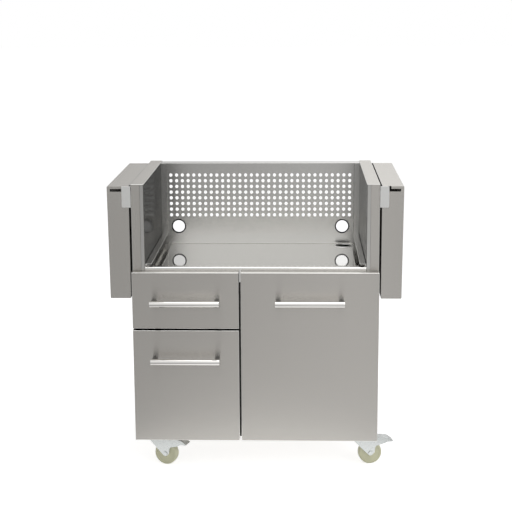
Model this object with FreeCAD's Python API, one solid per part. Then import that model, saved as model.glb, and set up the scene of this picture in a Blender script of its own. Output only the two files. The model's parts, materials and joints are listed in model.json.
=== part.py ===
"""Grill cart with storage: a stainless sheet-metal cabinet on four casters.

An open bay with a perforated back takes a built-in grill. Below it are two drawers
and a door, and a folding shelf hangs on each side.
X runs to the right, Y to the rear and Z up. The origin is on the floor, under the
middle of the cart's overall box. All sizes are in millimetres.
"""
import FreeCAD
import Part
import math
import os

Vector = FreeCAD.Vector

# Cabinet
CART_W = 768.0
CART_H = 914.0
CART_D = 560.0
BASE_Z = 100.0
SKIN = 1.2
BEND_R = 1.0
COLUMN_W = 40.0
SKIN_FLANGE = 28.0
SEAM = 0.5
PAN_FLANGE = 25.0

# Grill bay
BAY_FLOOR_Z = 628.0
LIP_RISE = 25.5
LIP_D = 30.0
APRON_H = 47.5
BACK_CHANNEL_D = 50.0
BACK_DROP = 2.5
BACK_FOOT_D = 20.0
BACK_REAR_FLANGE = 15.0
CAP_LAP = 12.0
RAIL_RISE = 10.5
RAIL_W = 20.0
RAIL_T = 1.5
RAIL_END_GAP = 4.0
CORNER_STRIP_D = 6.0

# Perforations and ports of the bay
PERF_D = 12.0
PERF_PITCH = 20.0
PERF_FROM_SIDE = 34.0
PERF_DROP = 41.5
PERF_ABOVE_PORT = 35.0
PORT_X = 285.0
PORT_RISE = 62.0
PORT_BORE_R = 21.0
GROMMET_SEAT_R = 23.0
GROMMET_RIM_R = 25.0
GROMMET_LIP_T = 2.5
HOSE_X = 289.0
HOSE_FROM_BACK = 35.0
HOSE_BORE_R = 26.0
HOSE_SEAT_R = 28.5
HOSE_RIM_R = 31.0
HOSE_RIM_T = 2.0

# Drawer and door fronts
FRONT_T = 25.0
FRONT_GAP = 3.0
FRONT_DROP = 11.5
FRONT_BOTTOM_Z = 96.0
FRONT_SPLIT = 6.0
DRAWER_FRONT_W = 332.5
UPPER_FRONT_H = 179.0
EDGE_R = 1.5

# Handles
HANDLE_D = 19.0
HANDLE_L = 215.0
HANDLE_REACH = 45.0
HANDLE_DROP = 90.0
POST_D = 16.0
POST_FROM_END = 9.5
BAR_CHAMFER = 0.8

# Drawer boxes and slides
BOX_D = 500.0
UPPER_BOX_H = 110.0
UPPER_BOX_RISE = 12.0
LOWER_BOX_H = 260.0
LOWER_BOX_RISE = 36.0
BOX_HEM = 8.0
SLIDE_L = 500.0
SLIDE_H = 45.0
SLIDE_T = 12.7
SLIDE_ABOVE_BOX = 45.0
SLIDE_SETBACK = 2.0
SLIDE_LIP = 1.5
STILE_CLEAR = 1.0
DIVIDER_CLEAR = 0.5
DIVIDER_FLANGE = 32.0
DIVIDER_REAR_FLANGE = 25.0
RUN_GAP = 0.3
RAIL_FOOT = 12.5

# Door hinge and catch
HINGE_INSET = 9.0
HINGE_FROM_END = 70.0
HINGE_PLATE_T = 4.0
HINGE_EYE_R = 5.5
HINGE_PIN_R = 3.0
HINGE_PIN_GAP = 0.25
HINGE_ARM_W = 7.0
HINGE_ELBOW_R = 2.0
HINGE_ARM_REACH = 24.0
HINGE_FOOT_D = 32.0
HINGE_FOOT_T = 3.0
HINGE_FOOT_H = 40.0
HINGE_EAR_T = 2.0
HINGE_LEAF_H = 30.0
HINGE_LEAF_T = 1.5
HINGE_SLOT_GAP = 1.5
CATCH_BELOW_APRON = 26.0
CATCH_H = 30.0
CATCH_W = 14.0
CATCH_D = 18.0
CATCH_TAB_W = 14.0
CATCH_TAB_T = 2.0

# Side shelves
SHELF_L = 354.0
SHELF_ROOT_T = 67.5
SHELF_TIP_T = 64.5
SHELF_GAP = 6.0
SHELF_DROP = 6.0
SHELF_REAR_GAP = 25.0
SHELF_RETURN = 15.0
SHELF_CORNER_R = 3.0
STUD_FROM_COLUMN = 22.0
STUD_BELOW_TOP = 12.5
STUD_R = 4.0
STUD_HEAD_R = 7.0
STUD_HEAD_T = 3.0
STUD_GAP = 0.25
SLOT_TO_FACE = 10.0
NOTCH_W = 9.0
NOTCH_D = 10.0
BRACKET_T = 2.0
BRACKET_H = 66.0
BRACKET_WEB_DROP = 14.0
TAB_W = 27.5
TAB_CORNER_R = 5.0
TAB_GAP = 0.5
STIFFENER_H = 14.0
STIFFENER_W = 60.0
STIFFENER_FOOT = 14.0
STIFFENER_SPOTS = (0.36, 0.70)

# Casters
CASTER_X = 326.0
CASTER_INSET = 35.0
CASTER_PLATE = 65.0
CASTER_PLATE_T = 2.5
PLATE_CORNER_R = 6.0
BOLT_HEAD_AF = 13.0
CUP_R = 26.0
CUP_FOOT_R = 22.0
CUP_H = 6.0
KINGPIN_R = 5.0
KINGPIN_HEAD_R = 8.5
KINGPIN_HEAD_T = 2.5
RACE_R = 21.0
RACE_H = 6.7
CROWN_R = 24.0
CROWN_T = 3.0
WHEEL_D = 75.0
WHEEL_W = 25.0
HUB_W = 26.0
HUB_R = 12.0
WHEEL_RECESS = 1.5
WHEEL_EDGE = 3.0
CASTER_TRAIL = 38.0
LEG_T = 2.5
LEG_NOSE_R = 9.0
LEG_BACK_X = -20.0
LEG_FRONT_X = 84.0
LEG_TIP_R = 4.0
LEG_PIVOT_R = 7.0
AXLE_R = 4.0
AXLE_END = 3.2
PEDAL_X = 76.0
PEDAL_Z = 74.0
PEDAL_PIN_R = 2.5
PEDAL_T = 1.5
PEDAL_SKIN = 1.8
PEDAL_HEEL = 16.0
PEDAL_REACH = 36.5
PEDAL_RISE = 15.0
PEDAL_BELLY = 7.0
PEDAL_CROWN_R = 20.0
PEDAL_NOSE = 3.5
SHOE_W = 22.0
SHOE_DROP = 13.0
SHOE_T = 5.0

# Rear panel
VENT_COUNT = 6
VENT_PITCH = 48.0
VENT_W = 8.0
VENT_H = 60.0
VENT_FIRST_X = 60.0
VENT_LOW_Z = 150.0
VENT_BELOW_APRON = 76.0

# Flat sides that stand for round ones
RING_SIDES = 16
HANDLE_SIDES = 20
BAR_SIDES = 12
WHEEL_SIDES = 18
PIN_SIDES = 8

# Places worked out from the sizes above
HANDLE_FRONT = FRONT_GAP + FRONT_T + HANDLE_REACH + HANDLE_D / 2
OVERALL_D = HANDLE_FRONT + CART_D
FRONT_Y = HANDLE_FRONT - OVERALL_D / 2
REAR_Y = FRONT_Y + CART_D
SIDE_X = CART_W / 2
WALL_X = SIDE_X - SKIN
BAY_X = SIDE_X - COLUMN_W
STILE_X = SIDE_X - SKIN_FLANGE
PAN_TOP_Z = BASE_Z + SKIN
LIP_TOP_Z = BAY_FLOOR_Z + LIP_RISE
APRON_Z = LIP_TOP_Z - APRON_H
VENT_HIGH_Z = APRON_Z - VENT_BELOW_APRON
RAIL_Z = LIP_TOP_Z + RAIL_RISE
PORT_Z = BAY_FLOOR_Z + PORT_RISE
BACK_Y = REAR_Y - BACK_CHANNEL_D
BACK_TOP_Z = CART_H - BACK_DROP
PERF_TOP_Z = BACK_TOP_Z - PERF_DROP
PERF_COLUMNS = 1 + int(2 * (BAY_X - PERF_FROM_SIDE) / PERF_PITCH)
PERF_ROWS = 1 + int((PERF_TOP_Z - PORT_Z - PERF_ABOVE_PORT) / PERF_PITCH)
BACK_SKIN_Y = REAR_Y - 2 * SKIN
FACE_BACK_Y = FRONT_Y - FRONT_GAP
FACE_Y = FACE_BACK_Y - FRONT_T
DRAWER_RIGHT_X = -SIDE_X + DRAWER_FRONT_W
DOOR_LEFT_X = DRAWER_RIGHT_X + FRONT_SPLIT
FRONT_TOP_Z = LIP_TOP_Z - FRONT_DROP
UPPER_FRONT_Z = FRONT_TOP_Z - UPPER_FRONT_H
LOWER_FRONT_TOP_Z = UPPER_FRONT_Z - FRONT_SPLIT
UPPER_BOX_Z = UPPER_FRONT_Z + UPPER_BOX_RISE
LOWER_BOX_Z = FRONT_BOTTOM_Z + LOWER_BOX_RISE
DIVIDER_X = DRAWER_RIGHT_X - DIVIDER_CLEAR
SLIDE_X = -STILE_X + STILE_CLEAR
SLIDE_Y = FRONT_Y + SLIDE_SETBACK
BOX_X0 = SLIDE_X + SLIDE_T
BOX_X1 = DIVIDER_X - SLIDE_T
BAY_MID_X = (SLIDE_X + DIVIDER_X) / 2
HINGE_X = SIDE_X - HINGE_INSET
HINGE_Y = FACE_Y + HINGE_INSET
HINGE_HEIGHTS = (FRONT_BOTTOM_Z + HINGE_FROM_END, FRONT_TOP_Z - HINGE_FROM_END)
SHELF_X = SIDE_X + SHELF_GAP
SHELF_TOP_Z = CART_H - SHELF_DROP
SHELF_END_Y = REAR_Y - SHELF_REAR_GAP
STUD_X = SIDE_X + STUD_FROM_COLUMN
STUD_Z = SHELF_TOP_Z - STUD_BELOW_TOP
WHEEL_R = WHEEL_D / 2
LEG_IN_Y = HUB_W / 2 + RUN_GAP
LEG_OUT_Y = LEG_IN_Y + LEG_T
PLATE_BOTTOM_Z = BASE_Z - CASTER_PLATE_T
CUP_BOTTOM_Z = PLATE_BOTTOM_Z - CUP_H
RACE_TOP_Z = CUP_BOTTOM_Z - RUN_GAP
CROWN_TOP_Z = RACE_TOP_Z - RACE_H
CROWN_BOTTOM_Z = CROWN_TOP_Z - CROWN_T

# Casters: name, side in X, place in Y, swivel angle as parked, brake or none
CASTERS = (
    ("front_left", -1, FRONT_Y + CASTER_INSET, -18.0, True),
    ("front_right", 1, FRONT_Y + CASTER_INSET, 10.0, True),
    ("rear_left", -1, REAR_Y - CASTER_INSET, 14.0, False),
    ("rear_right", 1, REAR_Y - CASTER_INSET, -8.0, False),
)

PLANES = {
    "xy": (lambda u, v, w: Vector(u, v, w), Vector(0, 0, 1)),
    "xz": (lambda u, v, w: Vector(u, w, v), Vector(0, 1, 0)),
    "yz": (lambda u, v, w: Vector(w, u, v), Vector(1, 0, 0)),
}


# Drawing tools

def box(x0, x1, y0, y1, z0, z1):
    """Block between two corners."""
    return Part.makeBox(x1 - x0, y1 - y0, z1 - z0, Vector(x0, y0, z0))


def rod(radius, start, end):
    """Round bar from one point to another."""
    run = end - start
    return Part.makeCylinder(radius, run.Length, start, run)


def placed_along(shape, start, axis):
    """Shape drawn on the Z axis, moved to start and turned to point along axis."""
    shape.Placement = FreeCAD.Placement(start, FreeCAD.Rotation(Vector(0, 0, 1), axis))
    return shape


def flat_rod(radius, start, end, sides=BAR_SIDES):
    """Bar with flat sides whose corners lie on the radius."""
    points = []
    for i in range(sides):
        turn = 2 * math.pi * i / sides
        points.append(Vector(radius * math.cos(turn), radius * math.sin(turn), 0))
    run = end - start
    bar = Part.Face(Part.makePolygon(points + points[:1])).extrude(Vector(0, 0, run.Length))
    return placed_along(bar, start, run)


def clear_hole(radius, start, end, sides=BAR_SIDES):
    """Cutter whose flat sides touch the radius from outside, so that a bar of it can turn inside."""
    return flat_rod(radius / math.cos(math.pi / sides), start, end, sides)


def hexagon(across_flats, centre, axis, length):
    """Hexagonal head or nut that starts at centre and runs along axis."""
    return flat_rod(across_flats / math.sqrt(3), centre, centre + axis * length, 6)


def rounded(corners, radii, flats):
    """Points of a closed outline whose rounded corners are drawn with a few flats each."""
    points = []
    for i, here in enumerate(corners):
        if radii[i] <= 0:
            points.append(here)
            continue
        back = (corners[i - 1] - here).normalize()
        on = (corners[(i + 1) % len(corners)] - here).normalize()
        half = back.getAngle(on) / 2
        centre = here + (back + on).normalize() * (radii[i] / math.sin(half))
        first = here + back * (radii[i] / math.tan(half)) - centre
        last = here + on * (radii[i] / math.tan(half)) - centre
        sweep = math.pi - 2 * half
        step = sweep / flats
        swings = [(step / 4, step / 4)] + [(step * k, step / 2) for k in range(1, flats)]
        for turn, off in swings + [(sweep - step / 4, step / 4)]:
            arm = first * math.sin(sweep - turn) + last * math.sin(turn)
            points.append(centre + arm * (1 / math.sin(sweep) / math.cos(off)))
    return points


def prism(points, plane, lo, hi, radii=0.0, flats=1):
    """Solid with a rounded outline in one plane, from lo to hi across it."""
    place, normal = PLANES[plane]
    if not isinstance(radii, (list, tuple)):
        radii = [radii] * len(points)
    outline = rounded([place(u, v, lo) for u, v in points], radii, flats)
    return Part.Face(Part.makePolygon(outline + outline[:1])).extrude(normal * (hi - lo))


def folded_sheet(points, plane, lo, hi, thick=SKIN, side=1, flats=1):
    """Sheet bent along an open path, on its left or, for side -1, on its right; flats 0 is sharp."""
    ways = []
    for (u0, v0), (u1, v1) in zip(points, points[1:]):
        size = math.hypot(u1 - u0, v1 - v0)
        ways.append(((u1 - u0) / size, (v1 - v0) / size))
    other = []
    near_radii = []
    far_radii = []
    last = len(points) - 1
    for i, (u, v) in enumerate(points):
        before = ways[max(i - 1, 0)]
        after = ways[min(i, last - 1)]
        spread = 1 + before[0] * after[0] + before[1] * after[1]
        shift_u = -(before[1] + after[1]) / spread * thick * side
        shift_v = (before[0] + after[0]) / spread * thick * side
        other.append((u + shift_u, v + shift_v))
        turn = (before[0] * after[1] - before[1] * after[0]) * side
        bent = flats > 0 and i not in (0, last)
        near_radii.append((BEND_R + thick if turn > 0 else BEND_R) if bent else 0.0)
        far_radii.append((BEND_R if turn > 0 else BEND_R + thick) if bent else 0.0)
    return prism(list(points) + other[::-1], plane, lo, hi, near_radii + far_radii[::-1], flats)


def turned(profile, axis, centre, sides):
    """Turned solid with flat sides: the profile holds radius and height along the axis."""
    def corner(point, k):
        turn = 2 * math.pi * k / sides
        return Vector(point[0] * math.cos(turn), point[0] * math.sin(turn), point[1])

    faces = []
    for low, high in zip(profile, profile[1:] + profile[:1]):
        if low[0] == 0 and high[0] == 0:
            continue
        for k in range(sides):
            points = [corner(low, k)]
            if high[0] > 0:
                points.append(corner(high, k))
            points.append(corner(high, k + 1))
            if low[0] > 0:
                points.append(corner(low, k + 1))
            faces.append(Part.Face(Part.makePolygon(points + points[:1])))
    shell = Part.Shell(faces)
    shell.sewShape()
    solid = Part.Solid(shell)
    if solid.Volume < 0:
        solid.reverse()
    axes = {"x": Vector(1, 0, 0), "y": Vector(0, 1, 0), "z": Vector(0, 0, 1)}
    return placed_along(solid.removeSplitter(), centre, axes[axis])


def joined(shapes):
    """One solid from shapes that touch or overlap."""
    return shapes[0].fuse(shapes[1:]).removeSplitter()


def mirrored(shape, x=0.0):
    """Copy on the other side of an upright plane."""
    return shape.mirror(Vector(x, 0, 0), Vector(1, 0, 0))


def round_edges(shape, radius, wanted):
    """Fillet the edges for which wanted(bounds) is true."""
    return shape.makeFillet(radius, [edge for edge in shape.Edges if wanted(edge.BoundBox)])


def save(node, shapes):
    """Write one node, made of one or more separate solids."""
    solids = [solid for shape in shapes for solid in shape.Solids]
    for solid in solids:
        if not solid.isValid() or solid.Volume <= 0:
            raise ValueError("bad solid in " + node)
    Part.makeCompound(solids).exportStep("parts/" + node + ".step")
    print(node, len(solids), "solids", round(sum(s.Volume for s in solids) / 1000, 1), "cm3")


# Cabinet shell

def side_panel():
    """Left outer skin: a channel with front and rear flanges, closed by the column's top."""
    path = [(-STILE_X, FRONT_Y), (-SIDE_X, FRONT_Y), (-SIDE_X, REAR_Y), (-STILE_X, REAR_Y)]
    wall = folded_sheet(path, "xy", PAN_TOP_Z, CART_H, side=-1)
    corners = [(-BAY_X, FRONT_Y), (-SIDE_X, FRONT_Y), (-SIDE_X, REAR_Y), (-BAY_X, REAR_Y)]
    corner_r = BEND_R + SKIN
    top = prism(corners, "xy", CART_H - SKIN, CART_H, [0.0, corner_r, corner_r, 0.0])
    return joined([wall, top])


def bay_liner():
    """Left inner skin of the grill bay, with a closing foot under the column."""
    flange_x = -STILE_X + SEAM
    path = [(flange_x, FRONT_Y), (-BAY_X, FRONT_Y), (-BAY_X, REAR_Y), (flange_x, REAR_Y)]
    wall = folded_sheet(path, "xy", APRON_Z, CART_H - SKIN)
    foot = box(-WALL_X, -BAY_X - SKIN, FRONT_Y + SKIN, REAR_Y - SKIN, APRON_Z, APRON_Z + SKIN)
    return joined([wall, foot])


def caster_spots():
    """Centre of each caster's bolt circle."""
    return [(side * CASTER_X, y) for _, side, y, _, _ in CASTERS]


def bottom_pan():
    """Floor of the cabinet, with front and rear flanges between the corner stiles."""
    top = BASE_Z + PAN_FLANGE
    path = [(FRONT_Y, top), (FRONT_Y, BASE_Z), (REAR_Y, BASE_Z), (REAR_Y, top)]
    pan = folded_sheet(path, "yz", -SIDE_X, SIDE_X)
    for side in (-1, 1):
        x0, x1 = sorted((side * (STILE_X - SEAM), side * (SIDE_X + SKIN)))
        pan = pan.cut(box(x0, x1, FRONT_Y - SKIN, REAR_Y + SKIN, PAN_TOP_Z, top + SKIN))
    return pan


def slot_cutter(x, z0, width, height, y0, y1):
    """Upright slot with round ends."""
    half = width / 2
    points = [(x - half, z0), (x + half, z0), (x + half, z0 + height), (x - half, z0 + height)]
    return prism(points, "xz", y0, y1, half - 0.01)


def lower_back_panel():
    """Sheet behind the drawers and the tank, with two rows of air slots."""
    y0 = BACK_SKIN_Y
    y1 = REAR_Y - SKIN
    half_low = WALL_X - BEND_R
    half_high = BAY_X - SEAM
    outline = [(-half_low, PAN_TOP_Z + BEND_R), (half_low, PAN_TOP_Z + BEND_R), (half_low, APRON_Z),
               (half_high, APRON_Z), (half_high, BAY_FLOOR_Z - SKIN), (-half_high, BAY_FLOOR_Z - SKIN),
               (-half_high, APRON_Z), (-half_low, APRON_Z)]
    cutters = []
    for row_z in (VENT_LOW_Z, VENT_HIGH_Z):
        for i in range(VENT_COUNT):
            x = VENT_FIRST_X + i * VENT_PITCH
            cutters.append(slot_cutter(x, row_z, VENT_W, VENT_H, y0 - SKIN, y1 + SKIN))
    return prism(outline, "xz", y0, y1).cut(cutters)


def centre_divider():
    """Upright sheet between drawers and door, its front flange behind the door's edge."""
    path = [(DIVIDER_X + DIVIDER_FLANGE, FRONT_Y), (DIVIDER_X, FRONT_Y),
            (DIVIDER_X, BACK_SKIN_Y), (DIVIDER_X + DIVIDER_REAR_FLANGE, BACK_SKIN_Y)]
    top = BAY_FLOOR_Z - SKIN
    divider = folded_sheet(path, "xy", PAN_TOP_Z, top, side=-1)
    x0 = DIVIDER_X - SKIN
    x1 = DIVIDER_X + DIVIDER_FLANGE + SKIN
    for z0, z1 in ((PAN_TOP_Z - SKIN, BASE_Z + PAN_FLANGE), (APRON_Z, top + SKIN)):
        divider = divider.cut(box(x0, x1, FRONT_Y - SKIN, FRONT_Y + SKIN, z0, z1))
    return divider.cut(box(x0, x1, BACK_SKIN_Y - SKIN, REAR_Y, APRON_Z, top + SKIN))


# Grill bay

def bay_floor():
    """Floor of the bay, folded up at the front into a lip that hides the front rail."""
    lip_back = FRONT_Y + LIP_D
    path = [(FRONT_Y, APRON_Z), (FRONT_Y, LIP_TOP_Z), (lip_back, LIP_TOP_Z),
            (lip_back, BAY_FLOOR_Z), (BACK_SKIN_Y, BAY_FLOOR_Z), (BACK_SKIN_Y, APRON_Z)]
    floor = folded_sheet(path, "yz", -BAY_X, BAY_X, side=-1, flats=2)
    x, y = HOSE_X, BACK_Y - HOSE_FROM_BACK
    low = Vector(x, y, BAY_FLOOR_Z - 2 * SKIN)
    return floor.cut(flat_rod(HOSE_SEAT_R, low, Vector(x, y, BAY_FLOOR_Z + SKIN), RING_SIDES))


def perforations():
    """Outlines of the small holes, in even rows and columns: squares as open as round holes."""
    half = PERF_D * math.sqrt(math.pi) / 4
    squares = []
    for row in range(PERF_ROWS):
        z = PERF_TOP_Z - row * PERF_PITCH
        for column in range(PERF_COLUMNS):
            x = (column - (PERF_COLUMNS - 1) / 2) * PERF_PITCH
            squares.append([(x - half, z - half), (x + half, z - half),
                            (x + half, z + half), (x - half, z + half)])
    return squares


def perforated_back_panel():
    """Back of the bay: a tray whose face has 256 small holes and two round ports."""
    rim = [(-BAY_X, BAY_FLOOR_Z), (BAY_X, BAY_FLOOR_Z), (BAY_X, BACK_TOP_Z), (-BAY_X, BACK_TOP_Z)]
    wires = []
    for outline in [rim] + perforations():
        points = [Vector(x, BACK_Y, z) for x, z in outline]
        wires.append(Part.makePolygon(points + points[:1]))
    face = Part.makeFace(wires, "Part::FaceMakerBullseye").extrude(Vector(0, SKIN, 0))
    for side in (-1, 1):
        x = side * PORT_X
        front = Vector(x, BACK_Y - SKIN, PORT_Z)
        face = face.cut(flat_rod(GROMMET_SEAT_R, front, Vector(x, BACK_Y + 2 * SKIN, PORT_Z), RING_SIDES))
    foot_y = BACK_Y + BACK_FOOT_D
    foot = box(-BAY_X, BAY_X, BACK_Y + SKIN, foot_y, BAY_FLOOR_Z, BAY_FLOOR_Z + SKIN)
    ends = []
    for side in (-1, 1):
        x0, x1 = sorted((side * BAY_X, side * (BAY_X - SKIN)))
        ends.append(box(x0, x1, BACK_Y + SKIN, foot_y, BAY_FLOOR_Z + SKIN, BACK_TOP_Z - CAP_LAP))
    return joined([face, foot] + ends)


def back_top_cap():
    """Folded strip that closes the top of the back, lapped behind the perforated face."""
    front = BACK_Y + SKIN
    path = [(front, BACK_TOP_Z - CAP_LAP), (front, BACK_TOP_Z), (REAR_Y, BACK_TOP_Z),
            (REAR_Y, BACK_TOP_Z - BACK_REAR_FLANGE)]
    return folded_sheet(path, "yz", -BAY_X, BAY_X, side=-1)


def grommet(x):
    """Rubber ring in a port of the back panel, with a groove for the sheet."""
    outer = -GROMMET_LIP_T
    inner = SKIN + GROMMET_LIP_T
    profile = [(0, outer), (GROMMET_RIM_R, outer), (GROMMET_RIM_R, 0), (GROMMET_SEAT_R, 0),
               (GROMMET_SEAT_R, SKIN), (GROMMET_RIM_R, SKIN), (GROMMET_RIM_R, inner), (0, inner)]
    ring = turned(profile, "y", Vector(x, BACK_Y, PORT_Z), RING_SIDES)
    front = Vector(x, BACK_Y + 2 * outer, PORT_Z)
    return ring.cut(rod(PORT_BORE_R, front, Vector(x, BACK_Y + 2 * inner, PORT_Z)))


def hose_bushing():
    """Rimmed sleeve in the floor, where the gas hose goes down to the tank."""
    below = -SKIN - HOSE_RIM_T
    profile = [(0, below), (HOSE_SEAT_R, below), (HOSE_SEAT_R, 0), (HOSE_RIM_R, 0),
               (HOSE_RIM_R, HOSE_RIM_T), (0, HOSE_RIM_T)]
    x, y = HOSE_X, BACK_Y - HOSE_FROM_BACK
    sleeve = turned(profile, "z", Vector(x, y, BAY_FLOOR_Z), RING_SIDES)
    low = Vector(x, y, BAY_FLOOR_Z + 2 * below)
    return sleeve.cut(rod(HOSE_BORE_R, low, Vector(x, y, BAY_FLOOR_Z + 2 * HOSE_RIM_T)))


def grill_support_rail():
    """Left ledge that carries the grill, seated on the front lip, with an upright strip in the back corner."""
    inner_x = -BAY_X + RAIL_W
    path = [(inner_x, RAIL_Z), (-BAY_X, RAIL_Z), (-BAY_X, LIP_TOP_Z)]
    ledge = folded_sheet(path, "xz", FRONT_Y + RAIL_END_GAP, BACK_Y, thick=RAIL_T)
    strip_y = BACK_Y - CORNER_STRIP_D
    corner = [(inner_x, BACK_Y), (inner_x, strip_y), (-BAY_X, strip_y)]
    return joined([ledge, folded_sheet(corner, "xy", RAIL_Z, BACK_TOP_Z, thick=RAIL_T, side=-1)])


# Fronts and handles

def front_skin(x0, x1, z0, z1):
    """Folded tray that faces a drawer or the door, open at the back."""
    outer = box(x0, x1, FACE_Y, FACE_BACK_Y, z0, z1)
    outer = round_edges(outer, EDGE_R, lambda b: b.YMax < FACE_Y + 0.01)
    return outer.cut(box(x0 + SKIN, x1 - SKIN, FACE_Y + SKIN, FACE_BACK_Y + SKIN, z0 + SKIN, z1 - SKIN))


def front_backing(x0, x1, z0, z1):
    """Flat sheet that closes the back of a front."""
    return box(x0 + SKIN, x1 - SKIN, FACE_BACK_Y - SKIN, FACE_BACK_Y, z0 + SKIN, z1 - SKIN)


def handle_bar(x, z):
    """Round bar across the front, with a small chamfer on each end."""
    half = HANDLE_L / 2
    radius = HANDLE_D / 2
    profile = [(0, -half), (radius - BAR_CHAMFER, -half), (radius, -half + BAR_CHAMFER),
               (radius, half - BAR_CHAMFER), (radius - BAR_CHAMFER, half), (0, half)]
    return turned(profile, "x", Vector(x, FACE_Y - HANDLE_REACH, z), HANDLE_SIDES)


def handle_posts(x, z):
    """Two posts whose ends are hollowed to fit the bar."""
    bar = handle_bar(x, z)
    posts = []
    for side in (-1, 1):
        post_x = x + side * (HANDLE_L / 2 - POST_FROM_END)
        post = flat_rod(POST_D / 2, Vector(post_x, FACE_Y, z), Vector(post_x, FACE_Y - HANDLE_REACH, z))
        posts.append(post.cut(bar))
    return posts


# Drawers

def drawer_box(z0, height):
    """Box of one drawer: bottom, two sides and two ends, welded at the corners, walls hemmed inwards on top."""
    y0 = FACE_BACK_Y
    y1 = y0 + BOX_D
    z1 = z0 + height
    sheets = [box(BOX_X0, BOX_X1, y0, y1, z0, z0 + SKIN)]
    for wall_x, hem_x in ((BOX_X0, BOX_X0), (BOX_X1 - SKIN, BOX_X1 - BOX_HEM)):
        wall = box(wall_x, wall_x + SKIN, y0, y1, z0 + SKIN, z1)
        sheets.append(joined([wall, box(hem_x, hem_x + BOX_HEM, y0, y1, z1 - SKIN, z1)]))
    for wall_y, hem_y in ((y0, y0), (y1 - SKIN, y1 - BOX_HEM)):
        wall = box(BOX_X0 + SKIN, BOX_X1 - SKIN, wall_y, wall_y + SKIN, z0 + SKIN, z1 - SKIN)
        hem = box(BOX_X0 + BOX_HEM, BOX_X1 - BOX_HEM, hem_y, hem_y + BOX_HEM, z1 - SKIN, z1)
        sheets.append(joined([wall, hem]))
    return sheets


def channel(x0, x1, z, half_height, opening):
    """Slide member: a channel along Y that opens to the right (1) or to the left (-1)."""
    web, tip = (x0, x1) if opening > 0 else (x1, x0)
    path = [(tip, z + half_height), (web, z + half_height), (web, z - half_height), (tip, z - half_height)]
    return folded_sheet(path, "xz", SLIDE_Y, SLIDE_Y + SLIDE_L, side=opening, flats=0)


def slide_pair(member):
    """A slide member on the left of the drawer bay and its mirror on the right."""
    return [member, mirrored(member, BAY_MID_X)]


def slide_outers(z):
    """Fixed members on the mount rail and on the divider."""
    return slide_pair(channel(SLIDE_X, SLIDE_X + SLIDE_T - SLIDE_LIP, z, SLIDE_H / 2, 1))


def slide_mids(z):
    """Middle members, which travel half as far as the drawer."""
    nest = SLIDE_H / 2 - SKIN - RUN_GAP
    x0 = SLIDE_X + SKIN + RUN_GAP
    return slide_pair(channel(x0, SLIDE_X + SLIDE_T - SKIN - RUN_GAP, z, nest, 1))


def slide_inners(z):
    """Inner members, fixed to the sides of the drawer box."""
    nest = SLIDE_H / 2 - 2 * (SKIN + RUN_GAP)
    x0 = SLIDE_X + 2 * (SKIN + RUN_GAP)
    return slide_pair(channel(x0, SLIDE_X + SLIDE_T, z, nest, -1))


def slide_mount_rail(z):
    """Hat rail that brings the left slide in past the corner stile."""
    web = SLIDE_X - SKIN
    half = SLIDE_H / 2
    foot = half + RAIL_FOOT
    path = [(-WALL_X, z + foot), (-WALL_X, z + half), (web, z + half),
            (web, z - half), (-WALL_X, z - half), (-WALL_X, z - foot)]
    return folded_sheet(path, "xz", SLIDE_Y, SLIDE_Y + SLIDE_L, flats=0)


def make_drawer(name, front_z0, front_z1, box_z, box_h):
    """Every node of one drawer."""
    x0, x1 = -SIDE_X, DRAWER_RIGHT_X
    handle_x = (x0 + x1) / 2
    handle_z = front_z1 - HANDLE_DROP
    slide_z = box_z + SLIDE_ABOVE_BOX
    save(name + "_front", [front_skin(x0, x1, front_z0, front_z1)])
    save(name + "_backing", [front_backing(x0, x1, front_z0, front_z1)])
    save(name + "_box", drawer_box(box_z, box_h))
    save(name + "_handle_bar", [handle_bar(handle_x, handle_z)])
    save(name + "_handle_posts", handle_posts(handle_x, handle_z))
    save(name + "_slide_inners", slide_inners(slide_z))
    save(name + "_slide_mids", slide_mids(slide_z))


# Door

def door_liner():
    """Back sheet of the door, slotted where the hinge arms go in."""
    liner = front_backing(DOOR_LEFT_X, SIDE_X, FRONT_BOTTOM_Z, FRONT_TOP_Z)
    half = HINGE_PLATE_T / 2 + HINGE_SLOT_GAP
    x0 = HINGE_X - HINGE_ARM_REACH - HINGE_ARM_W / 2 - 2 * HINGE_SLOT_GAP
    for z in HINGE_HEIGHTS:
        liner = liner.cut(box(x0, WALL_X, FACE_Y, FACE_BACK_Y + SKIN, z - half, z + half))
    return liner


def hinge_bracket(z):
    """Fixed hinge half: a goose-neck arm that reaches round into the hollow door."""
    half_arm = HINGE_ARM_W / 2
    elbow = HINGE_X - HINGE_ARM_REACH
    behind = FRONT_Y + SKIN
    foot_x = WALL_X - HINGE_FOOT_T
    points = [(elbow - half_arm, HINGE_Y - half_arm), (HINGE_X, HINGE_Y - half_arm),
              (HINGE_X, HINGE_Y + half_arm), (elbow + half_arm, HINGE_Y + half_arm),
              (elbow + half_arm, behind), (foot_x, behind), (foot_x, behind + HINGE_FOOT_D),
              (elbow - half_arm, behind + HINGE_FOOT_D)]
    radii = [half_arm, 0, 0, HINGE_ELBOW_R, 0, 0, 0, half_arm]
    low = z - HINGE_PLATE_T / 2
    high = z + HINGE_PLATE_T / 2
    arm = prism(points, "xy", low, high, radii, flats=2)
    eye = flat_rod(HINGE_EYE_R, Vector(HINGE_X, HINGE_Y, low), Vector(HINGE_X, HINGE_Y, high))
    foot = box(foot_x, WALL_X, behind + BEND_R, behind + HINGE_FOOT_D,
               z - HINGE_FOOT_H / 2, z + HINGE_FOOT_H / 2)
    hole = clear_hole(HINGE_PIN_R + HINGE_PIN_GAP, Vector(HINGE_X, HINGE_Y, low - 1),
                      Vector(HINGE_X, HINGE_Y, high + 1))
    return joined([arm, eye, foot]).cut(hole)


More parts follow.
